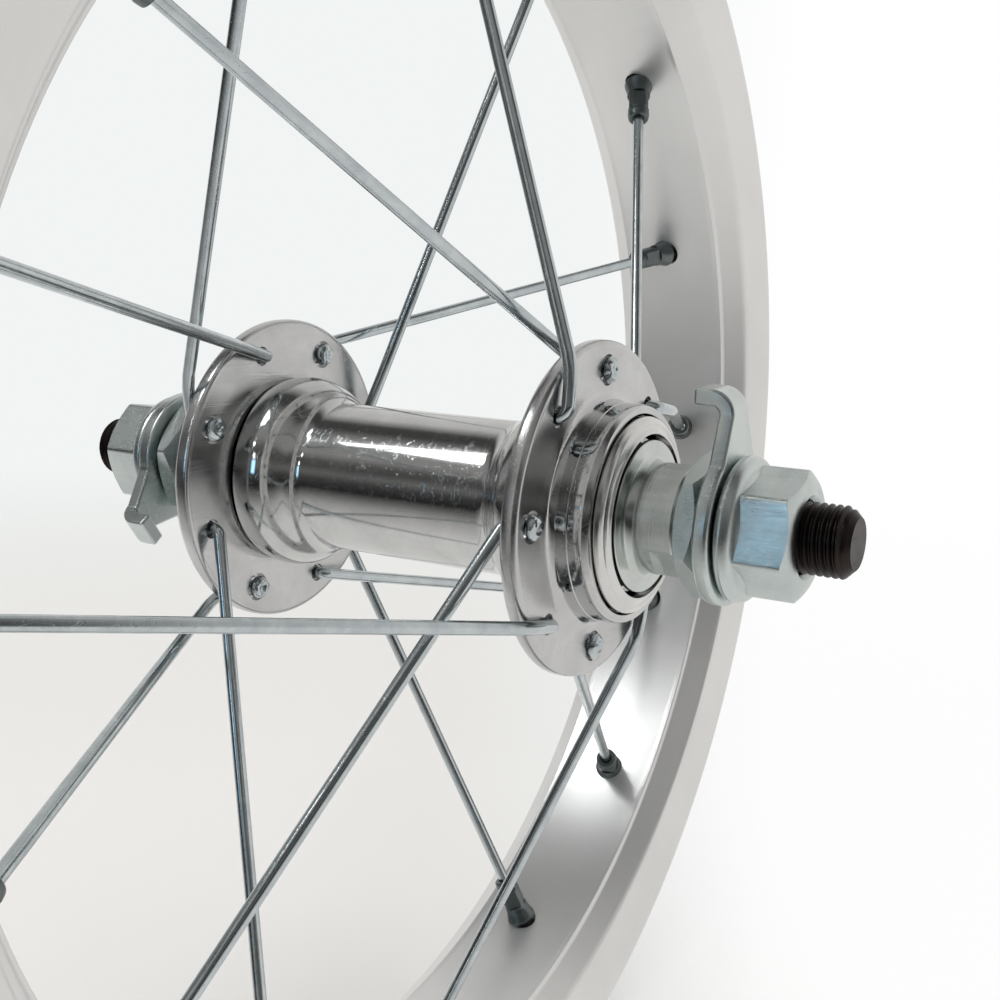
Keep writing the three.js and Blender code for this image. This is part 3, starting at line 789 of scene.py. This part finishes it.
def thread(half_length):
    """One turn of the thread, copied end to end until it is long enough."""
    bm = bmesh.new()
    start = -half_length - THREAD_SPARE * THREAD_PITCH
    root = AXLE_RADIUS - THREAD_DEPTH
    tooth = [(root, 0), (root, 0.12), (AXLE_RADIUS, 0.44), (AXLE_RADIUS, 0.62), (root, 0.94), (root, 1)]
    verts = [bm.verts.new((radius, start + y * THREAD_PITCH, 0)) for radius, y in tooth]
    edges = [bm.edges.new(pair) for pair in zip(verts, verts[1:])]
    bmesh.ops.spin(bm, geom=verts + edges, cent=(0, 0, 0), axis=(0, 1, 0), angle=math.tau,
                   steps=THREAD_STEPS, dvec=(0, THREAD_PITCH / THREAD_STEPS, 0))
    length = THREAD_PITCH
    while length < 2 * (half_length + THREAD_SPARE * THREAD_PITCH):
        copied = bmesh.ops.duplicate(bm, geom=bm.verts[:] + bm.edges[:] + bm.faces[:])["geom"]
        bmesh.ops.translate(bm, vec=(0, length, 0), verts=verts_in(copied))
        length *= 2
    bmesh.ops.remove_doubles(bm, verts=bm.verts, dist=THREAD_MERGE_DISTANCE)
    return bm


def axle():
    bm = thread(AXLE_HALF_LENGTH)
    for side in (-1, 1):
        everything = bm.verts[:] + bm.edges[:] + bm.faces[:]
        cut = bmesh.ops.bisect_plane(bm, geom=everything, plane_co=(0, side * AXLE_HALF_LENGTH, 0),
                                     plane_no=(0, side, 0), clear_outer=True)["geom_cut"]
        bmesh.ops.holes_fill(bm, edges=edges_in(cut))
    for vert in bm.verts:
        flat = Vector((vert.co.x, 0, vert.co.z))
        limit = AXLE_HALF_LENGTH + AXLE_RADIUS - AXLE_CHAMFER - abs(vert.co.y)
        if flat.length > limit:
            vert.co -= flat * (1 - limit / flat.length)
    bmesh.ops.recalc_face_normals(bm, faces=bm.faces)
    return into_piece(bm, "axle", AXLE_BLACK)


axle_piece = axle()
print("axle:", len(axle_piece.data.polygons), "faces")

# %% [markdown]
# ## Cones, locknuts and nuts
# A cone is turned, with two flats milled near its outer end for a thin spanner. The nuts start as six-sided
# bars whose corners are taken off on a lathe, which leaves curved edges on the flats: the bar and a turned
# blank overlap, and the part they share is the nut. The outer nut has a round skirt in one piece with it.

# %% Cone pieces
THREAD_BORE = AXLE_RADIUS + 0.2
CONE_NOSE = BALL_PLANE - 2.4
CONE_BODY_RADIUS = 7.5
CONE_BODY_START = 36.3
CONE_END = 42.3
CONE_FLATS_ACROSS = 13.4
CONE_FLATS_LENGTH = 3.4
CONE_FLATS_ANGLE = 38


def cone(end):
    nose = BALL_CIRCLE - RACE_RADIUS
    outline = [(THREAD_BORE, CONE_NOSE, 0), (nose, CONE_NOSE, 0)]
    outline += [(*point, 0) for point in arc(BALL_CIRCLE, BALL_PLANE, RACE_RADIUS, 180, 90)]
    outline += [
        (BALL_CIRCLE, SHIELD_START, 0),
        (SHIELD_RADIUS, SHIELD_START, 0.1),
        (SHIELD_RADIUS, SHIELD_END, 0.25),
        (CONE_BODY_RADIUS + 0.5, SHIELD_END, 0.3),
        (CONE_BODY_RADIUS, CONE_BODY_START, 0.6),
        (CONE_BODY_RADIUS, CONE_END, 0.5),
        (THREAD_BORE, CONE_END, 0.3),
    ]
    body = turned(eased(outline), 96)
    for side in (-1, 1):
        middle = (0, CONE_END + (1 - CONE_FLATS_LENGTH) / 2, side * (CONE_FLATS_ACROSS / 2 + 2))
        cutter = block((20, CONE_FLATS_LENGTH + 1, 4), middle)
        body = carve(body, rolled(cutter, CONE_FLATS_ANGLE))
    return into_piece(at_end(body, end), f"cone_{end}", CONE_ZINC)


# %% Nut helpers
NUT_CHAMFER = math.radians(30)


def hexagon_bar(across, y0, y1, easing=0.25):
    """A six-sided bar with slightly rounded edges, its first flat facing the top."""
    bm = bmesh.new()
    corner = across / 2 / math.cos(math.pi / 6)
    upright = Matrix.Rotation(math.pi / 2, 4, "X") @ Matrix.Rotation(math.pi / 6, 4, "Z")
    bmesh.ops.create_cone(bm, cap_ends=True, segments=6, radius1=corner, radius2=corner, depth=y1 - y0,
                          matrix=Matrix.Translation((0, (y0 + y1) / 2, 0)) @ upright)
    sides = [edge for edge in bm.edges if abs((edge.verts[0].co - edge.verts[1].co).y) > 0.1]
    bmesh.ops.bevel(bm, geom=sides, offset=easing, affect="EDGES", segments=3, profile=0.5, material=-1)
    return bm


def nut_blank(across, y0, y1, first_round, easing=0.2, shoulder=0.35):
    """The turned shape that a nut's corners are brought down to."""
    full = across / 2 / math.cos(math.pi / 6) + 0.1
    face = across / 2 - shoulder
    drop = (full - face) * math.tan(NUT_CHAMFER)
    return turned(eased([
        (0, y0, 0),
        (face if first_round else full, y0, easing if first_round else 0),
        (full, y0 + drop, 0.15),
        (full, y1 - drop, 0.3),
        (face, y1, easing),
        (0, y1, 0),
    ]), 96)


def bore(y0, y1, mouth=0.6):
    """A bore cutter with a countersink at its outer face."""
    return turned([(0, y0 - 1), (THREAD_BORE, y0 - 1), (THREAD_BORE, y1 - mouth), (THREAD_BORE + mouth, y1),
                   (THREAD_BORE + mouth, y1 + 1), (0, y1 + 1)], 64)


# %% Locknut and axle nut pieces
LOCKNUT_START = CONE_END + 0.2
LOCKNUT_END = 45.6
LOCKNUT_ACROSS = 17
LOCKNUT_ANGLES = {"right": 19, "left": -12}
NUT_START = 48.3
NUT_END = 57.8
NUT_ACROSS = 15
NUT_SKIRT_RADIUS = 9.6
NUT_ANGLES = {"right": 20, "left": -7}


def locknut(end):
    blank = nut_blank(LOCKNUT_ACROSS, LOCKNUT_START, LOCKNUT_END, True)
    body = carve(hexagon_bar(LOCKNUT_ACROSS, LOCKNUT_START, LOCKNUT_END), blank, "INTERSECT")
    body = carve(body, bore(LOCKNUT_START, LOCKNUT_END))
    return into_piece(at_end(body, end, LOCKNUT_ANGLES[end]), f"locknut_{end}", ZINC)


def axle_nut(end):
    blank = nut_blank(NUT_ACROSS, NUT_START, NUT_END, False, 0.9, 0.8)
    body = carve(hexagon_bar(NUT_ACROSS, NUT_START + 0.5, NUT_END, 0.5), blank, "INTERSECT")
    skirt = turned(eased([
        (0, NUT_START, 0),
        (NUT_SKIRT_RADIUS, NUT_START, 0.9),
        (NUT_SKIRT_RADIUS, NUT_START + 2.0, 1.0),
        (NUT_ACROSS / 2 + 0.2, NUT_START + 2.7, 0.6),
        (NUT_ACROSS / 2 - 0.6, NUT_START + 3.4, 0),
        (0, NUT_START + 3.4, 0),
    ]), 96)
    body = carve(body, skirt, "UNION")
    body = carve(body, bore(NUT_START, NUT_END))
    return into_piece(at_end(body, end, NUT_ANGLES[end]), f"axle_nut_{end}", ZINC)


for end in ENDS:
    made = [cone(end), locknut(end), axle_nut(end)]
    print(f"{end} cone, locknut and nut:", [len(piece.data.polygons) for piece in made], "faces")

# %% [markdown]
# ## Hooked washers
# The washer between locknut and nut has a tongue bent over towards the hub, which hooks into a hole of the
# fork and keeps the wheel from dropping out. It is drawn as a press would form it: a flat strip pushed
# outwards, spun round the bend, and pushed on into a short leg.

# %% Hooked washer pieces
WASHER_START = 45.9
WASHER_END = 48.1
WASHER_RADIUS = 10.3
WASHER_THICKNESS = WASHER_END - WASHER_START
HOOK_ANGLES = {"right": 3, "left": 127}
HOOK_BEND_AT = {"right": 15.0, "left": 14.2}
HOOK_BEND_INNER = 1.0
HOOK_LEG = 2.4
TONGUE_ROOT = 5.2
TONGUE_TIP = 2.5
BLANK_BORE = 2


def push_ring(bm, ring, move, grow=1.0):
    """Extrudes the open end of a wire, and scales its new ring about the ring's middle."""
    made = bmesh.ops.extrude_edge_only(bm, edges=ring)["geom"]
    verts = verts_in(made)
    bmesh.ops.translate(bm, vec=move, verts=verts)
    middle = sum((vert.co for vert in verts), Vector()) / len(verts)
    for vert in verts:
        vert.co = middle + (vert.co - middle) * grow
    return [edge for edge in edges_in(made) if set(edge.verts) <= set(verts)]


def bend_ring(bm, ring, centre, axis, angle, steps):
    """Spins the open end of a wire about an axis."""
    verts = list(dict.fromkeys(vert for edge in ring for vert in edge.verts))
    last = bmesh.ops.spin(bm, geom=verts + ring, cent=centre, axis=axis, angle=angle, steps=steps)
    return edges_in(last["geom_last"])


def tongue(bend_at):
    """The washer's hook, from inside its ring outwards and over the bend."""
    start = 5.0
    half_width = 7.6
    leave = WASHER_RADIUS - 1.3
    bm = bmesh.new()
    bmesh.ops.create_grid(bm, x_segments=1, y_segments=1, size=1,
                          matrix=Matrix.Translation((0, (WASHER_START + WASHER_END) / 2, start))
                          @ Matrix.Diagonal((half_width, WASHER_THICKNESS / 2, 1, 1)))
    ring = list(bm.edges)
    ring = push_ring(bm, ring, Vector((0, 0, leave - start)), Vector((TONGUE_ROOT / half_width, 1, 1)))
    ring = push_ring(bm, ring, Vector((0, 0, bend_at - leave)), Vector((TONGUE_TIP / TONGUE_ROOT, 1, 1)))
    centre = (0, WASHER_START - HOOK_BEND_INNER, bend_at)
    ring = bend_ring(bm, ring, centre, (1, 0, 0), math.radians(90), 8)
    ring = push_ring(bm, ring, Vector((0, -HOOK_LEG, 0)))
    bmesh.ops.edgeloop_fill(bm, edges=ring)
    bmesh.ops.recalc_face_normals(bm, faces=bm.faces)
    return bm


def hook_washer(end):
    plate = turned(eased([
        (BLANK_BORE, WASHER_START, 0),
        (WASHER_RADIUS, WASHER_START, 0.5),
        (WASHER_RADIUS, WASHER_END, 0.6),
        (BLANK_BORE, WASHER_END, 0),
    ]), 96)
    strip = tongue(HOOK_BEND_AT[end])
    edges = [edge for edge in strip.edges if len(edge.link_faces) == 2 and edge.calc_face_angle() > 0.9]
    bmesh.ops.bevel(strip, geom=edges, offset=0.4, affect="EDGES", segments=3, profile=0.5, material=-1,
                    clamp_overlap=True)
    body = carve(carve(plate, strip, "UNION"), bore(WASHER_START, WASHER_END, 0.3))
    flip = 0 if ENDS[end] > 0 else 180
    body = at_end(body, end, HOOK_ANGLES[end] + flip)
    return into_piece(body, f"hook_washer_{end}", ZINC)


for end in ENDS:
    print(f"{end} hooked washer:", len(hook_washer(end).data.polygons), "faces")

# %% [markdown]
# ## Spokes
# A spoke is wire with a small upset head, a short shank through the flange, an elbow and one straight run.
# A spoke whose elbow is outside bends once more, where it leans over the flange's edge. It could be a curve
# with a round bevel, but a wire that is pushed and spun ring by ring keeps even sides through the bends, and
# its head grows from the same rings. A little noise dents each head, since they are hammered.


# %% Bending wire
BEND_STEP_ANGLE = 9


def wire(start, shank, head, corners, bends, end_at, sides=20):
    """Wire from its head's top, along the head's (distance, radius) rings, then round each corner."""
    bm = bmesh.new()
    place = Matrix.Translation(start) @ shank.to_track_quat("Z", "Y").to_matrix().to_4x4()
    bmesh.ops.create_circle(bm, cap_ends=True, segments=sides, radius=head[0][1], matrix=place)
    ring = list(bm.edges)
    for (done, size), (distance, radius) in zip(head, head[1:]):
        ring = push_ring(bm, ring, shank * (distance - done), radius / size)
    at = start + shank * head[-1][0]
    way = shank
    for corner, after, bend in zip(corners, corners[1:] + [end_at], bends):
        next_way = (after - corner).normalized()
        turn = way.angle(next_way)
        reach = bend * math.tan(turn / 2)
        ring = push_ring(bm, ring, corner - way * reach - at)
        axis = way.cross(next_way).normalized()
        centre = corner - way * reach + axis.cross(way) * bend
        steps = max(2, round(math.degrees(turn) / BEND_STEP_ANGLE))
        ring = bend_ring(bm, ring, centre, axis, turn, steps)
        at = corner + next_way * reach
        way = next_way
    ring = push_ring(bm, ring, end_at - at)
    bmesh.ops.edgeloop_fill(bm, edges=ring)
    bmesh.ops.recalc_face_normals(bm, faces=bm.faces)
    return bm


# %% Spoke pieces
HEAD_RADIUS = 1.75
HEAD_PROUD = 0.85
HEAD_RINGS = [(0.3, 0.35), (0.22, 0.55), (0.04, 0.8), (0.0, 1.0), (0.1, 1.3), (0.28, 1.53), (0.5, 1.68),
              (0.75, HEAD_RADIUS), (1.15, 1.7), (1.5, 1.2), (1.6, SPOKE_RADIUS)]
ELBOW_RADIUS = 1.7
CREST_RADIUS = 12.0
END_PAST_BED = 2.5
DENT = 0.26
DENT_SEED = 3
DENT_REACH = 0.7
DENT_SCALE = 1.3
DENT_STRIDE = 7.0  # how far apart in the noise two spokes' heads are


noise.seed_set(DENT_SEED)


def spoke(line, number):
    top = line["hole"] - line["shank"] * (FLANGE_THICKNESS / 2 + HEAD_PROUD)
    corners = [line["corner"]]
    if line["elbow_out"]:
        corners.append(line["over"])
    end_at = line["rim_end"] + line["run"] * END_PAST_BED
    bm = wire(top, line["shank"], HEAD_RINGS, corners, [ELBOW_RADIUS, CREST_RADIUS], end_at)
    for vert in bm.verts:
        depth = (vert.co - top).dot(line["shank"])
        if depth < DENT_REACH:
            place = vert.co * DENT_SCALE + Vector((number * DENT_STRIDE, 0, 0))
            vert.co += noise.noise_vector(place) * DENT
    return into_piece(bm, f"spoke_{line['name']}", SPOKE_ZINC)


spoke_pieces = [spoke(line, number) for number, line in enumerate(PLAN)]
print(len(spoke_pieces), "spokes of", len(spoke_pieces[1].data.polygons), "faces")

# %% [markdown]
# ## Nipples
# A nipple is a long thin nut that screws on the spoke's end from outside the rim. Towards the hub it has a
# plain collar and four flats for a key, then a round body, and a flared head that sits in the rim's hole with
# a slot for a driver. One master is made, and every spoke gets a turned copy.

# %% Nipple pieces
NIPPLE_RADIUS = 2.0
NIPPLE_BORE = 1.0
NIPPLE_START = -8.2
NIPPLE_TOP = 5.6
NIPPLE_FLATS = 3.3
NIPPLE_FLATS_MIDDLE = NIPPLE_START + 3.6
FLATS_CUTTER = (8, 3.4, 2)
SLOT_CUTTER = (8, 2, 0.7)


def nipple_master():
    outline = eased([
        (NIPPLE_BORE, NIPPLE_START, 0.1),
        (NIPPLE_RADIUS - 0.25, NIPPLE_START, 0.3),
        (NIPPLE_RADIUS - 0.1, NIPPLE_START + 1.2, 0.2),
        (NIPPLE_RADIUS - 0.3, NIPPLE_START + 1.6, 0.2),
        (NIPPLE_RADIUS, NIPPLE_START + 2.2, 0.2),
        (NIPPLE_RADIUS, -2.2, 0.4),
        (NIPPLE_RADIUS + 0.55, -0.4, 0.3),
        (NIPPLE_RADIUS + 0.3, 0.1, 0.2),
        (NIPPLE_RADIUS, 0.6, 0.2),
        (NIPPLE_RADIUS, 2.9, 0.2),
        (NIPPLE_RADIUS + 1, 4.3, 0.4),
        (NIPPLE_BORE, NIPPLE_TOP, 0.3),
    ])
    body = turned(outline, 32)
    height = NIPPLE_FLATS / 2 + FLATS_CUTTER[2] / 2
    for angle in (0, -90, -180, -270):
        cutter = block(FLATS_CUTTER, (0, NIPPLE_FLATS_MIDDLE, height))
        body = carve(body, rolled(cutter, angle))
    return carve(body, block(SLOT_CUTTER, (0, NIPPLE_TOP, 0)))


master = nipple_master()
for line in PLAN:
    nipple = master.copy()
    lay = Matrix.Translation(line["rim_end"]) @ line["run"].to_track_quat("Y", "Z").to_matrix().to_4x4()
    bmesh.ops.transform(nipple, matrix=lay, verts=nipple.verts)
    into_piece(nipple, f"nipple_{line['name']}", NIPPLE_PLATE)
master.free()
print("pieces so far:", len(made_pieces))

# %% [markdown]
# ## Floor and studio
# Bright metal shows what stands round it, so the studio is the finish's other half. The floor is white paper
# that fades into a white world before its edge shows. Towards the camera's right it fades nearly away, so
# that the world's flat white, which is painted light, stands in for paper burnt out by strong light, with no
# shadow on it. A soft box stands high on the camera's side, and shows only in reflections. A window gives a
# small blue light below it, and two small lamps make sparks in the plating. Two wide fills show in no
# reflection: they brighten only the paper and the rim's satin.

# %% Floor
FLOOR_HEIGHT = rim_low.z * MM
PAPER_SIZE = 4.0
PAPER_TONE = (0.93, 0.915, 0.89)
PAPER_ROUGHNESS = 0.8
PAPER_SOLID = 0.2
PAPER_END = 0.75
SCREEN_RIGHT = (0.51, -0.86, 0)  # level, towards the camera's right
# painted light: past these distances the paper gives way to the world's flat white, which stands for paper
# burnt out by strong light
LIT_FROM = -0.02  # distances that way: where the paper starts to fade, and where it is nearly gone
LIT_TO = 0.085
LIT_LEAST = 0.06


def fading_paper():
    """White paper that fades out towards its edge, so that no horizon shows, and towards its brightly lit
    side, where the world's flat white is painted light for paper burnt out by the lamps.
    """
    material, tree, shader = new_material("white paper")
    shader.inputs["Base Color"].default_value = (*PAPER_TONE, 1)
    shader.inputs["Roughness"].default_value = PAPER_ROUGHNESS
    place = put(tree, "TexCoord").outputs["Object"]
    distance = put(tree, "VectorMath", {0: place}, operation="LENGTH").outputs["Value"]
    solid = put(tree, "MapRange", {"Value": distance, "From Min": PAPER_END, "From Max": PAPER_SOLID},
                interpolation_type="SMOOTHSTEP").outputs[0]
    # painted light: the paper fades out on its brightly lit side, so that flat white shows there instead of
    # lit paper
    rightward = put(tree, "VectorMath", {0: place, 1: SCREEN_RIGHT}, operation="DOT_PRODUCT").outputs["Value"]
    painted_burnout_fade = put(tree, "MapRange", {"Value": rightward, "From Min": LIT_TO, "From Max": LIT_FROM,
                                   "To Min": LIT_LEAST}, interpolation_type="SMOOTHSTEP").outputs[0]
    tree.links.new(times(tree, solid, painted_burnout_fade), shader.inputs["Alpha"])
    return material


sheet = bmesh.new()
bmesh.ops.create_grid(sheet, x_segments=1, y_segments=1, size=PAPER_SIZE / 2,
                      matrix=Matrix.Translation((0, 0, FLOOR_HEIGHT)))
floor = as_object(sheet, "floor")
floor.data.materials.append(fading_paper())
floor.visible_glossy = False

# %% Lights
def soft_box(name, at, target, width, depth, watts, color=(1, 1, 1)):
    lamp = bpy.data.lights.new(name, "AREA")
    lamp.shape = "RECTANGLE"
    lamp.size = width
    lamp.size_y = depth
    lamp.energy = watts
    lamp.color = color
    obj = bpy.data.objects.new(name, lamp)
    bpy.context.scene.collection.objects.link(obj)
    obj.location = at
    obj.rotation_euler = (Vector(at) - Vector(target)).to_track_quat("Z", "Y").to_euler()
    return obj


soft_box("high_box", (-0.40, 0.43, 0.81), (0, 0, 0), 0.28, 0.30, 1.9, (0.97, 0.99, 1.0))
soft_box("blue_window", (-0.845, 0.256, 0.135), (0, -0.05, 0), 0.14, 0.22, 0.22, (0.38, 0.72, 1.0))
soft_box("small_lamp_a", (-0.62, 0.35, 0.42), (0, 0, 0), 0.04, 0.04, 0.08)
soft_box("small_lamp_b", (-0.72, 0.25, 0.27), (0, 0, 0), 0.04, 0.04, 0.08)
bpy.data.objects["high_box"].visible_diffuse = False
soft_box("paper_fill", (0.2, 0.1, 1.6), (0, 0, 0), 2, 2, 18).visible_glossy = False
soft_box("front_fill", (-1.0, -0.1, 0.35), (0, 0, 0), 0.6, 0.6, 5).visible_glossy = False


# %% [markdown]
# ## What the metal mirrors
# Metal turned about the axle mirrors directions that differ mostly in their angle about it. So the world's
# brightness is one ramp over that angle: white paper below and behind, a dark room with a few pale things at
# the camera's side. The camera itself sees a flat paper backdrop with painted light on it: greyer on the left
# and burnt out to white towards the right.

# %% World
# brightness by the angle above the horizon, counted from level on the camera's side
MIRRORED = [(-180, 0.80), (-66, 0.80), (-50, 0.62), (-36, 0.46), (-22, 0.18), (-12, 0.02), (2, 0.06),
            (12, 0.17), (22, 0.08), (30, 0.10), (42, 0.30), (56, 0.30), (74, 0.24), (88, 0.06),
            (102, 0.07), (120, 0.65), (180, 0.85)]
MIRRORED_TINT = (1.0, 0.985, 0.965)
# painted light: the backdrop that only the camera sees, greyer on the left and white towards the camera's
# right
PAINTED_BACKDROP_TONES = ((0.88, 0.905, 0.90), (1, 1, 1))
PAINTED_BACKDROP_CHANGE = (0.05, 0.2)  # how far towards the camera's right the seen tone starts and stops changing


def studio_world():
    """The ramp for everything but the camera, and for the camera flat paper with painted light, brightest on
    the right.
    """
    world = bpy.data.worlds.new("studio")
    world.use_nodes = True
    tree = world.node_tree
    tree.nodes.clear()
    way = put(tree, "SeparateXYZ", {0: put(tree, "TexCoord").outputs["Generated"]}).outputs
    angle = maths(tree, "ARCTAN2", way["Z"], times(tree, way["X"], -1.0))
    share = maths(tree, "ADD", maths(tree, "DIVIDE", angle, math.tau), 0.5)
    levels = put(tree, "ValToRGB", {"Fac": share})
    stops = levels.color_ramp.elements
    while len(stops) < len(MIRRORED):
        stops.new(0.5)
    for stop, (degrees, level) in zip(stops, MIRRORED):
        stop.position = degrees / 360 + 0.5
        stop.color = (*(level * tint for tint in MIRRORED_TINT), 1)
    mirrored_light = put(tree, "Background", {"Color": levels.outputs[0], "Strength": 1.0})
    # painted light: the camera's backdrop whitens towards the camera's right, standing for paper burnt out by
    # strong light
    across = put(tree, "VectorMath", {0: put(tree, "TexCoord").outputs["Generated"], 1: SCREEN_RIGHT},
                 operation="DOT_PRODUCT").outputs["Value"]
    white = put(tree, "MapRange", {"Value": across, "From Min": PAINTED_BACKDROP_CHANGE[0], "From Max": PAINTED_BACKDROP_CHANGE[1]})
    paper = put(tree, "Mix", {0: white.outputs[0], 6: (*PAINTED_BACKDROP_TONES[0], 1), 7: (*PAINTED_BACKDROP_TONES[1], 1)},
                data_type="RGBA")
    seen = put(tree, "Background", {"Color": paper.outputs[2], "Strength": 1.0})
    to_camera = put(tree, "LightPath").outputs["Is Camera Ray"]
    mix = put(tree, "MixShader", {0: to_camera, 1: mirrored_light.outputs[0], 2: seen.outputs[0]})
    put(tree, "OutputWorld", {"Surface": mix.outputs[0]})
    bpy.context.scene.world = world


studio_world()
bpy.context.scene.view_settings.view_transform = "Standard"

# %% [markdown]
# ## Camera
# The camera stands close, in front and to the right of the hub and a little above it, leaning slightly.
# Standing close is what makes the near flange so much larger than the far one.

# %% Camera
CAMERA_AT = Vector((-0.16611, -0.11007, 0.03523))
CAMERA_AZIMUTH = -59.538
CAMERA_ELEVATION = 10.503
CAMERA_ROLL = 1.5618
LENS = 49.51
SENSOR_WIDTH = 36


def camera_turn():
    azimuth = math.radians(CAMERA_AZIMUTH)
    elevation = math.radians(CAMERA_ELEVATION)
    back = Vector((math.sin(azimuth) * math.cos(elevation), -math.cos(azimuth) * math.cos(elevation),
                   math.sin(elevation)))
    right = (-back).cross(Vector((0, 0, 1))).normalized()
    up = right.cross(-back)
    upright = Matrix((right, up, back)).transposed()
    return upright @ Matrix.Rotation(math.radians(CAMERA_ROLL), 3, "Z")


lens = bpy.data.cameras.new("camera")
lens.lens = LENS
lens.sensor_width = SENSOR_WIDTH
lens.clip_start = 0.01
camera = bpy.data.objects.new("camera", lens)
camera.matrix_world = Matrix.Translation(CAMERA_AT) @ camera_turn().to_4x4()
bpy.context.scene.collection.objects.link(camera)
bpy.context.scene.camera = camera
print("camera at", [round(value, 3) for value in CAMERA_AT])

# %% Count the pieces and faces
print("pieces:", len(made_pieces), "faces:", sum(len(piece.data.polygons) for piece in made_pieces))
